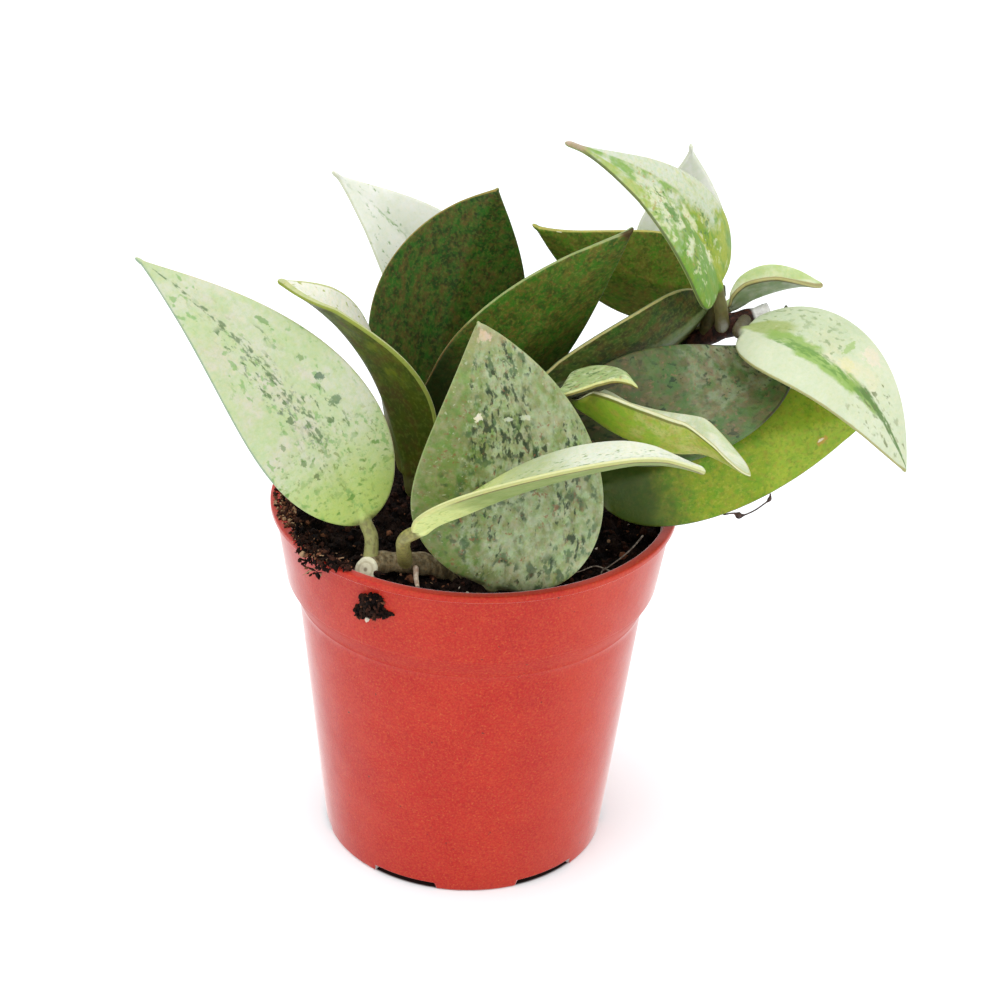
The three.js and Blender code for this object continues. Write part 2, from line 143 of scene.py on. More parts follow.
# joint is where the petiole leaves its stem, base, bend and tip are the midrib's start, middle and end,
# faces is where the upper side looks (faces_tip at the tip), fold is how far each half rises, in degrees,
# lean names one half (1 where s > 0, -1 where s < 0) and how much wider it is at the base and at the tip.
LEAVES = {
    "leaf_01_front_left": dict(
        joint=(-14.2, -20.6, 55.3), base=(-15, -19, 61), bend=(-27.4, -13.3, 79), tip=(-47.5, -8, 95),
        faces=(0.25, -0.75, 0.6), width=19.5, fold=10, curl=0.05, taper=1.15),
    "leaf_02_left_back": dict(
        joint=(-3.9, 10, 54.3), base=(-9.5, -3, 60), bend=(-16, -4, 79.6), tip=(-28, -8, 92.5),
        faces=(0.6, 0.75, 0.3), faces_tip=(0.2, -0.3, 1), width=15.5, fold=22, fold_tip=42),
    "leaf_03_back": dict(
        joint=(-3.7, 10.3, 66), base=(0, 15, 75.5), bend=(-10, 18, 87.2), tip=(-22.4, 18, 99),
        faces=(-0.1, -0.6, 0.8), width=17, fold=12, taper=1.3, neck=3),
    "leaf_04_centre": dict(
        joint=(-4, 10, 61), base=(-7, 5, 63.5), bend=(-3.7, 7.5, 85.4), tip=(1.8, 6, 101.8),
        faces=(0, 0.95, 0.2), width=23, fold=10),
    "leaf_05_centre_right": dict(
        joint=(-4, 10, 56.8), base=(-5, -2, 66), bend=(6, -2, 82), tip=(20.5, -4, 100.5),
        faces=(-0.4, 0.9, 0.1), width=20, fold=12, lean=(1, -0.2, 0)),
    "leaf_06_back_right": dict(
        joint=(29.2, 9.5, 75.7), base=(33.2, 15, 84), bend=(20.6, 16, 85.8), tip=(7, 14, 93.5),
        faces=(0, 0.95, 0.2), width=16, fold=12, taper=1.2),
    "leaf_07_front": dict(
        joint=(8, -8, 57), base=(2.7, -24, 54.2), bend=(4.3, -22.5, 73.2), tip=(-0.4, -18, 91.8),
        faces=(0, -1, 0.25), width=26.5, fold=8, curl=0.04, fullness=0.5, taper=0.95, neck=0.2),
    "leaf_08_front_arch": dict(
        joint=(-9.4, -19.6, 55.3), base=(-7.7, -28, 64.8), bend=(10.6, -33, 76.5), tip=(30.2, -31, 79.8),
        faces=(0, 0.25, 0.97), width=17, fold=16, hook=2.5, taper=0.85),
    "leaf_09_right_arch": dict(
        joint=(9.3, -8.8, 71.5), base=(13.2, -14.2, 79.3), bend=(25, -18.7, 74.6), tip=(34.8, -21.9, 77.7),
        faces=(0, 0.37, 0.93), width=15.5, fold=46, hook=5.5, neck=0.5, fullness=0.4, taper=0.52,
        lean=(-1, -0.3, 0.12)),
    "leaf_10_small_arch": dict(
        joint=(9, -8.5, 76), base=(10.4, -13.3, 78.9), bend=(16.8, -15, 81.7), tip=(20.6, -17, 84.6),
        faces=(0, 0.1, 1), width=13.3, fold=14, hook=2.2, neck=1, fullness=0.4, taper=1.3),
    "leaf_11_long_dark": dict(
        joint=(32.9, 8.2, 79.3), base=(33, 7.6, 85.6), bend=(23.6, 1, 79.9), tip=(7.3, -5, 76.1),
        faces=(0, 0.84, 0.55), width=16.5, fold=17, taper=0.7, neck=0.6, lean=(1, 0.22, 0.22)),
    "leaf_12_shaded": dict(
        joint=(9.3, -8.8, 69), base=(12.6, -8, 73.2), bend=(37, -3, 76.7), tip=(44.7, 12, 83),
        faces=(0.2, -0.75, 0.6), faces_tip=(0, -0.3, 0.95), width=18, fold=12, fullness=0.5, taper=1.45),
    "leaf_13_low_right": dict(
        joint=(8.4, -8.2, 60.5), base=(17.2, -10, 63.1), bend=(37, -7, 68.7), tip=(57.5, 0, 73.2),
        faces=(0, 1, -0.4), width=19, fold=20, fullness=0.45, taper=0.8),
    "leaf_14_far_right": dict(
        joint=(38.6, 8.3, 82.2), base=(37.2, 1.5, 83.1), bend=(50.1, -7, 82.2), tip=(60.1, -14, 69.5),
        faces=(0, -0.25, 0.97), width=18, fold=6, curl=0.1, fullness=0.5, taper=0.95, neck=0.3),
    "leaf_15_right_arch": dict(
        joint=(35.3, 8, 80.9), base=(35.8, 10, 83.2), bend=(42.6, 11, 86.3), tip=(50.2, 13, 86.8),
        faces=(0, 0.34, 0.94), faces_tip=(0, -0.3, 0.95), width=8.5, fold=50, hook=1, neck=0.6),
    "leaf_16_splashed": dict(
        joint=(35.2, 8.1, 80.7), base=(33.5, 2.5, 88.9), bend=(25.8, -1, 102.9), tip=(10.5, -4, 112.4),
        faces=(0.75, -0.4, 0.5), width=18, fold=10, curl=0.1, fullness=0.42, taper=1.45, neck=4),
    "leaf_17_far_back": dict(
        joint=(26, 9.5, 72.5), base=(28.5, 21, 80.8), bend=(30, 23, 93.5), tip=(29.7, 20, 104.4),
        faces=(0, -0.8, 0.6), width=14, fold=8, taper=1.5, neck=5.5),
}


# ------------------------------------------------------------------ numbers and curves
def unit(vectors):
    """Each vector divided by its length."""
    return vectors / np.linalg.norm(vectors, axis=-1, keepdims=True)


def blend(low, high, share):
    """low where share is 0, high where it is 1, and straight between."""
    return low + (high - low) * share


def smooth(low, high, value):
    """0 below low, 1 above high, and 3x^2 - 2x^3 between."""
    x = np.clip((value - low) / (high - low), 0, 1)
    return x * x * (3 - 2 * x)


def quarter_round(distance, radius):
    """Height of a quarter circle at a distance from its start: 0 at the start, 1 from the radius on."""
    x = np.clip(distance / radius, 0, 1)
    return np.sqrt(x * (2 - x))


def spread_round(path, count):
    """count points at equal spaces along a densely given path, and their distances from its start."""
    steps = np.linalg.norm(np.diff(path, axis=0), axis=1)
    run = np.concatenate([[0], np.cumsum(steps)])
    wanted = np.linspace(0, run[-1], count)
    points = np.stack([np.interp(wanted, run, path[:, k]) for k in range(3)], axis=1)
    return points, wanted


def curve_through(points, count):
    """A centripetal Catmull-Rom curve through the points, sampled at equal spaces: between two points it is
    a cubic whose end slopes follow from the neighbours, weighted by the square roots of the distances."""
    knots = np.array(points, float)
    knots = np.vstack([2 * knots[0] - knots[1], knots, 2 * knots[-1] - knots[-2]])
    share = np.linspace(0, 1, 24, endpoint=False)[:, None]
    pieces = []
    for before, start, end, after in zip(knots, knots[1:], knots[2:], knots[3:]):
        gaps = [math.sqrt(np.linalg.norm(q - p)) for p, q in ((before, start), (start, end), (end, after))]
        first = (start - before) / gaps[0] - (end - before) / (gaps[0] + gaps[1]) + (end - start) / gaps[1]
        last = (end - start) / gaps[1] - (after - start) / (gaps[1] + gaps[2]) + (after - end) / gaps[2]
        first, last = first * gaps[1], last * gaps[1]
        cubic = 2 * start - 2 * end + first + last
        square = 3 * end - 3 * start - 2 * first - last
        pieces.append(cubic * share**3 + square * share**2 + first * share + start)
    return spread_round(np.vstack(pieces + [knots[-2][None]]), count)


def carried_frames(path, upper):
    """Two directions square to a path at each of its points, the first starting as near to upper as it can
    and carried along with the least turning."""
    forward = unit(np.gradient(path, axis=0))
    ups = []
    for ahead in forward:
        upper = unit(upper - ahead * np.dot(upper, ahead))
        ups.append(upper)
    ups = np.array(ups)
    return ups, np.cross(forward, ups)


def value_noise(x, y, cell, seed):
    """Random heights from -1 to 1 on a square lattice of the given cell, joined smoothly."""
    lattice = np.random.default_rng(seed).uniform(-1, 1, (64, 64))
    u, v = x / cell, y / cell
    i, j = np.floor(u).astype(int), np.floor(v).astype(int)
    a, b = smooth(0, 1, u - i), smooth(0, 1, v - j)
    corner = lambda di, dj: lattice[(i + di) % 64, (j + dj) % 64]
    return blend(blend(corner(0, 0), corner(1, 0), a), blend(corner(0, 1), corner(1, 1), a), b)


# ------------------------------------------------------------------ meshes
def grid_faces(rows, columns, closed):
    """Quads of a grid of points, row after row. When closed, the last column joins the first."""
    across = np.arange(columns if closed else columns - 1)
    row, column = np.meshgrid(np.arange(rows - 1), across, indexing="ij")
    after = (column + 1) % columns
    start = row * columns
    following = start + columns
    quads = np.stack([start + column, start + after, following + after, following + column], -1)
    return quads.reshape(-1, 4)


def pole_faces(ring, pole, turned):
    """Triangles from a closed ring of point numbers to a pole."""
    following = np.roll(ring, -1)
    pair = (following, ring) if turned else (ring, following)
    return np.stack([np.full(len(ring), pole), *pair], axis=1)


def build_mesh(name, points, faces, material, attributes=None, smooth_faces=True):
    """An object at the origin from points in mm and arrays of quads and triangles, with a value or a vector
    kept at each point for every attribute."""
    mesh = bpy.data.meshes.new(name)
    corners = np.concatenate([part.reshape(-1) for part in faces]).astype(np.int32)
    sizes = np.concatenate([np.full(len(part), part.shape[1]) for part in faces]).astype(np.int32)
    starts = np.concatenate([[0], np.cumsum(sizes)[:-1]]).astype(np.int32)
    mesh.vertices.add(len(points))
    mesh.vertices.foreach_set("co", (points * MM).astype(np.float32).reshape(-1))
    mesh.loops.add(len(corners))
    mesh.loops.foreach_set("vertex_index", corners)
    mesh.polygons.add(len(sizes))
    mesh.polygons.foreach_set("loop_start", starts)
    mesh.update(calc_edges=True)
    mesh.polygons.foreach_set("use_smooth", np.full(len(sizes), smooth_faces))
    for label, values in (attributes or {}).items():
        flat = values.ndim == 1
        layer = mesh.attributes.new(label, "FLOAT" if flat else "FLOAT_VECTOR", "POINT")
        layer.data.foreach_set("value" if flat else "vector", values.astype(np.float32).reshape(-1))
    mesh.materials.append(material)
    piece = bpy.data.objects.new(name, mesh)
    bpy.context.scene.collection.objects.link(piece)
    return piece


def close_skin(rings):
    """Points and faces of rings of points joined into a closed skin, each end drawn in to a pole. The rings
    run counter-clockwise as seen by someone whom they are moving towards."""
    rows, columns = rings.shape[:2]
    body = rings.reshape(-1, 3)
    poles = np.array([rings[0].mean(0), rings[-1].mean(0)])
    points = np.vstack([body, poles])
    count = rows * columns
    first = np.arange(columns)
    last = first + (rows - 1) * columns
    faces = [
        grid_faces(rows, columns, True),
        pole_faces(first, count, True),
        pole_faces(last, count + 1, False),
    ]
    return points, faces


def dress(piece, slot, *nodes):
    """Lets a piece ride on the body and stand for the nodes that it replaces, which it hides. The slot is
    not used.
    """
    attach(piece, "root")
    if nodes:
        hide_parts(*nodes)


# ------------------------------------------------------------------ shader helpers
LIGHT = 1.54  # how many times a white wall the studio's light makes of a surface that gives all of it back


def paint(red, green, blue):
    """Linear colour that shows as this display colour, 0 to 255, in the studio's light."""
    share = np.array([red, green, blue]) / 255
    linear = np.where(share <= 0.04045, share / 12.92, ((share + 0.055) / 1.055) ** 2.4)
    return (*(linear / LIGHT).tolist(), 1.0)


def feed(tree, socket, value):
    """Links a socket to another node's output, or sets it to a plain value."""
    if isinstance(value, bpy.types.NodeSocket):
        tree.links.new(value, socket)
    else:
        socket.default_value = value


def calc(tree, operation, *values, clamp=False):
    """Output of a Math node."""
    made = tree.nodes.new("ShaderNodeMath")
    made.operation = operation
    made.use_clamp = clamp
    for socket, value in zip(made.inputs, values):
        feed(tree, socket, value)
    return made.outputs[0]


def vector_calc(tree, operation, *values):
    """Vector output of a Vector Math node."""
    made = tree.nodes.new("ShaderNodeVectorMath")
    made.operation = operation
    for socket, value in zip(made.inputs, values):
        feed(tree, socket, value)
    return made.outputs["Value" if operation == "LENGTH" else "Vector"]


def fade(tree, value, low, high, smoothly=True):
    """0 where value is below low and 1 where it is above high."""
    made = tree.nodes.new("ShaderNodeMapRange")
    made.interpolation_type = "SMOOTHSTEP" if smoothly else "LINEAR"
    for label, number in (("Value", value), ("From Min", low), ("From Max", high)):
        feed(tree, made.inputs[label], number)
    return made.outputs[0]


def vector_fade(tree, value, low, high):
    """The same for each part of a vector."""
    made = tree.nodes.new("ShaderNodeMapRange")
    made.data_type = "FLOAT_VECTOR"
    made.interpolation_type = "SMOOTHSTEP"
    for number, position in ((value, 6), (low, 7), (high, 8)):
        feed(tree, made.inputs[position], number)
    return made.outputs["Vector"]


def mix_colours(tree, mask, below, above):
    """below where mask is 0 and above where it is 1."""
    made = tree.nodes.new("ShaderNodeMix")
    made.data_type = "RGBA"
    for position, value in ((0, mask), (6, below), (7, above)):
        feed(tree, made.inputs[position], value)
    return made.outputs[2]


def lay(tree, mask, amount, below, above):
    """above laid over below where the mask is 1, as strong as amount."""
    return mix_colours(tree, calc(tree, "MULTIPLY", mask, amount), below, above)


def tint(tree, mask, colour, factors):
    """colour, multiplied by the factors where mask is 1."""
    made = tree.nodes.new("ShaderNodeMix")
    made.data_type = "RGBA"
    made.blend_type = "MULTIPLY"
    for position, value in ((0, mask), (6, colour), (7, (*factors, 1.0))):
        feed(tree, made.inputs[position], value)
    return made.outputs[2]


def noise(tree, place, output=0, scale=1.0, detail=2.0, roughness=0.5):
    """Output of a Noise Texture node, its value unless another is named."""
    made = tree.nodes.new("ShaderNodeTexNoise")
    for label, value in (("Vector", place), ("Scale", scale), ("Detail", detail), ("Roughness", roughness)):
        feed(tree, made.inputs[label], value)
    return made.outputs[output]


def new_group(name, inputs, outputs):
    """An empty shader node group with named sockets, and the sockets inside it."""
    group = bpy.data.node_groups.new(name, "ShaderNodeTree")
    kinds = {1: "NodeSocketFloat", 3: "NodeSocketVector"}
    for label, size in inputs:
        group.interface.new_socket(label, in_out="INPUT", socket_type=kinds[size])
    for label in outputs:
        group.interface.new_socket(label, in_out="OUTPUT", socket_type="NodeSocketFloat")
    inside = group.nodes.new("NodeGroupInput").outputs
    outside = group.nodes.new("NodeGroupOutput").inputs
    return group, inside, outside


def use_group(tree, group, **values):
    """Outputs of a group placed in a tree, its inputs fed by their names, with _ for a space."""
    made = tree.nodes.new("ShaderNodeGroup")
    made.node_tree = group
    for label, value in values.items():
        feed(tree, made.inputs[label.replace("_", " ")], value)
    return made.outputs


def new_material(name, **plain):
    """A material with its Principled shader, whose plain values are set by their names."""
    material = bpy.data.materials.new(name)
    material.use_nodes = True
    tree = material.node_tree
    shader = tree.nodes["Principled BSDF"]
    for label, value in plain.items():
        shader.inputs[label.replace("_", " ")].default_value = value
    return material, tree, shader


def attribute(tree, name, output="Vector"):
    """A value or vector that the mesh keeps at its points."""
    made = tree.nodes.new("ShaderNodeAttribute")
    made.attribute_name = name
    return made.outputs[output]


def object_place(tree):
    """Place on the object, in mm."""
    coordinates = tree.nodes.new("ShaderNodeTexCoord").outputs["Object"]
    return vector_calc(tree, "MULTIPLY", coordinates, (1000, 1000, 1000))


def add_bump(tree, shader, height, strength, distance):
    """Bumps on the surface, distance in mm for a height of 1."""
    made = tree.nodes.new("ShaderNodeBump")
    made.inputs["Strength"].default_value = strength
    made.inputs["Distance"].default_value = distance * MM
    feed(tree, made.inputs["Height"], height)
    tree.links.new(made.outputs[0], shader.inputs["Normal"])


# ------------------------------------------------------------------ shared effects
def marking_group():
    """Where one marking lies on a leaf: a noise stretched to Size, cut at a level that leaves Cover of it,
    thinned to loose Clusters, inside windows on Share (across from -1 to 1, along from 0 to 1, mm from the
    margin). Ragged shakes the windows' edges."""
    inputs = [
        ("Place", 3), ("Share", 3), ("Size", 3), ("Shift", 3), ("Cover", 1), ("Soft", 1), ("Clusters", 1),
        ("Low", 3), ("High", 3), ("Fade", 3), ("Ragged", 3), ("Amount", 1),
    ]
    group, given, result = new_group("leaf_marking", inputs, ["Mask"])
    place = vector_calc(group, "ADD", given["Place"], given["Shift"])
    grain = noise(group, vector_calc(group, "DIVIDE", place, given["Size"]), detail=3)
    level = calc(group, "MULTIPLY_ADD", given["Cover"], -0.8, 0.8)
    lowest = calc(group, "SUBTRACT", level, given["Soft"])
    spots = fade(group, grain, lowest, calc(group, "ADD", level, given["Soft"]))
    crowd = noise(group, vector_calc(group, "MULTIPLY", place, (0.24, 0.16, 1)), detail=2)
    bare = calc(group, "SUBTRACT", 1.0, fade(group, crowd, 0.46, 0.56))
    crowded = calc(group, "SUBTRACT", 1.0, calc(group, "MULTIPLY", given["Clusters"], bare))
    shake = noise(group, place, "Color", scale=0.45, detail=3, roughness=0.6)
    shake = vector_calc(group, "SUBTRACT", shake, (0.5, 0.5, 0.5))
    share = vector_calc(group, "MULTIPLY_ADD", shake, given["Ragged"], given["Share"])
    outer_low = vector_calc(group, "SUBTRACT", given["Low"], given["Fade"])
    outer_high = vector_calc(group, "ADD", given["High"], given["Fade"])
    rise = vector_fade(group, share, outer_low, given["Low"])
    drop = vector_fade(group, share, given["High"], outer_high)
    window = vector_calc(group, "SUBTRACT", rise, drop)
    window = vector_calc(group, "MAXIMUM", window, (0, 0, 0))
    parts = group.nodes.new("ShaderNodeSeparateXYZ")
    group.links.new(window, parts.inputs[0])
    mask = calc(group, "MULTIPLY", parts.outputs[0], parts.outputs[1])
    mask = calc(group, "MULTIPLY", mask, parts.outputs[2])
    mask = calc(group, "MULTIPLY", mask, calc(group, "MULTIPLY", spots, crowded))
    feed(group, result["Mask"], calc(group, "MULTIPLY", mask, given["Amount"], clamp=True))
    return group


def scar_group():
    """A ragged oval round Centre on a leaf, Reach wide and long, both in shares across and along."""
    inputs = [("Place", 3), ("Share", 3), ("Centre", 3), ("Reach", 3), ("Amount", 1)]
    group, given, result = new_group("leaf_scar", inputs, ["Mask"])
    away = vector_calc(group, "SUBTRACT", given["Share"], given["Centre"])
    away = vector_calc(group, "DIVIDE", away, given["Reach"])
    shake = noise(group, given["Place"], "Color", scale=1.5, detail=4, roughness=0.7)
    shake = vector_calc(group, "SUBTRACT", shake, (0.5, 0.5, 0.5))
    away = vector_calc(group, "MULTIPLY_ADD", shake, (2.8, 2.8, 0), away)
    away = vector_calc(group, "LENGTH", vector_calc(group, "MULTIPLY", away, (1, 1, 0)))
    feed(group, result["Mask"], calc(group, "MULTIPLY", fade(group, away, 1.1, 0.75), given["Amount"]))
    return group


def mottle_group():
    """Two fine soft patterns that don't follow each other, for darker and for warmer grains."""
    inputs = [("Place", 3), ("Scale", 1), ("Amount", 1)]
    group, given, result = new_group("fine_mottle", inputs, ["Dark", "Warm"])
    for label, shift in (("Dark", 0.0), ("Warm", 53.0)):
        place = vector_calc(group, "ADD", given["Place"], (shift, 0, shift))
        grain = noise(group, place, scale=given["Scale"], detail=4, roughness=0.7)
        feed(group, result[label], calc(group, "MULTIPLY", fade(group, grain, 0.4, 0.66), given["Amount"]))
    return group


def relief_group():
    """Height of a fine grain, of soft dents under it, and a roughness that wanders with the dents."""
    inputs = [("Place", 3), ("Grain", 1), ("Dents", 1)]
    group, given, result = new_group("surface_relief", inputs, ["Height", "Wander"])
    fine = noise(group, given["Place"], scale=given["Grain"], detail=3, roughness=0.6)
    wide = noise(group, given["Place"], scale=given["Dents"], detail=2)
    feed(group, result["Height"], calc(group, "MULTIPLY_ADD", wide, 1.6, fine))
    feed(group, result["Wander"], calc(group, "SUBTRACT", wide, 0.5))
    return group


MARKING = marking_group()
SCAR = scar_group()
MOTTLE = mottle_group()
RELIEF = relief_group()
MARK_SHIFT = 5.3  # depth in the noise from one marking of a side to the next


# ------------------------------------------------------------------ leaf looks
def mark(colour, size=(3, 3), cover=1.0, soft=0.08, across=(-2, 2), along=(-1, 2), edge=(-1, 99),
         fades=(0.1, 0.05), ragged=(0, 0), clusters=0.0, amount=1.0):
    """One marking: its display colour, the mm across and along of its noise, how much that covers, how far
    it gathers in clusters, and the windows it keeps to. fades and ragged have a value across and one along,
    and may have a third, for the window on the mm from the margin."""
    low, high = zip(across, along, edge)
    return dict(
        colour=paint(*colour), size=(*size, 1), cover=cover, soft=soft, low=low, high=high,
        fades=(*fades, 0.1)[:3], ragged=(*ragged, 0)[:3], clusters=clusters, amount=amount)


def rim(colour, width=0.12, amount=0.7, **windows):
    """A thin coloured margin."""
    return mark(
        colour, edge=(-1, width), fades=(0.1, 0.06, 0.12), ragged=(0, 0.1, 0.15), amount=amount, **windows)


def flecks(colour, cover=0.24, size=(0.7, 1.2), **windows):
    """Small streaks along the blade."""
    return mark(colour, size=size, cover=cover, soft=0.05, **windows)


def blotches(colour, cover=0.4, size=(3, 4), soft=0.12, **windows):
    """Soft broad patches."""
    return mark(colour, size=size, cover=cover, soft=soft, **windows)


def spot(colour, across, along, reach=(0.06, 0.015), amount=1.0):
    """One small ragged oval at a place on the blade."""
    return dict(colour=paint(*colour), centre=(across, along, 0), reach=(*reach, 1), amount=amount)


def base_zone(colour, along=0.1, fading=0.25, amount=0.7, **windows):
    """A different colour near the petiole, that fades out along the blade."""
    return mark(colour, along=(-1, along), fades=(0.1, fading), ragged=(0, 0.15), amount=amount, **windows)


def two_tones(ground, patches):
    """A side that is hardly seen: one colour with soft patches of another."""
    return [mark(ground), blotches(patches)]


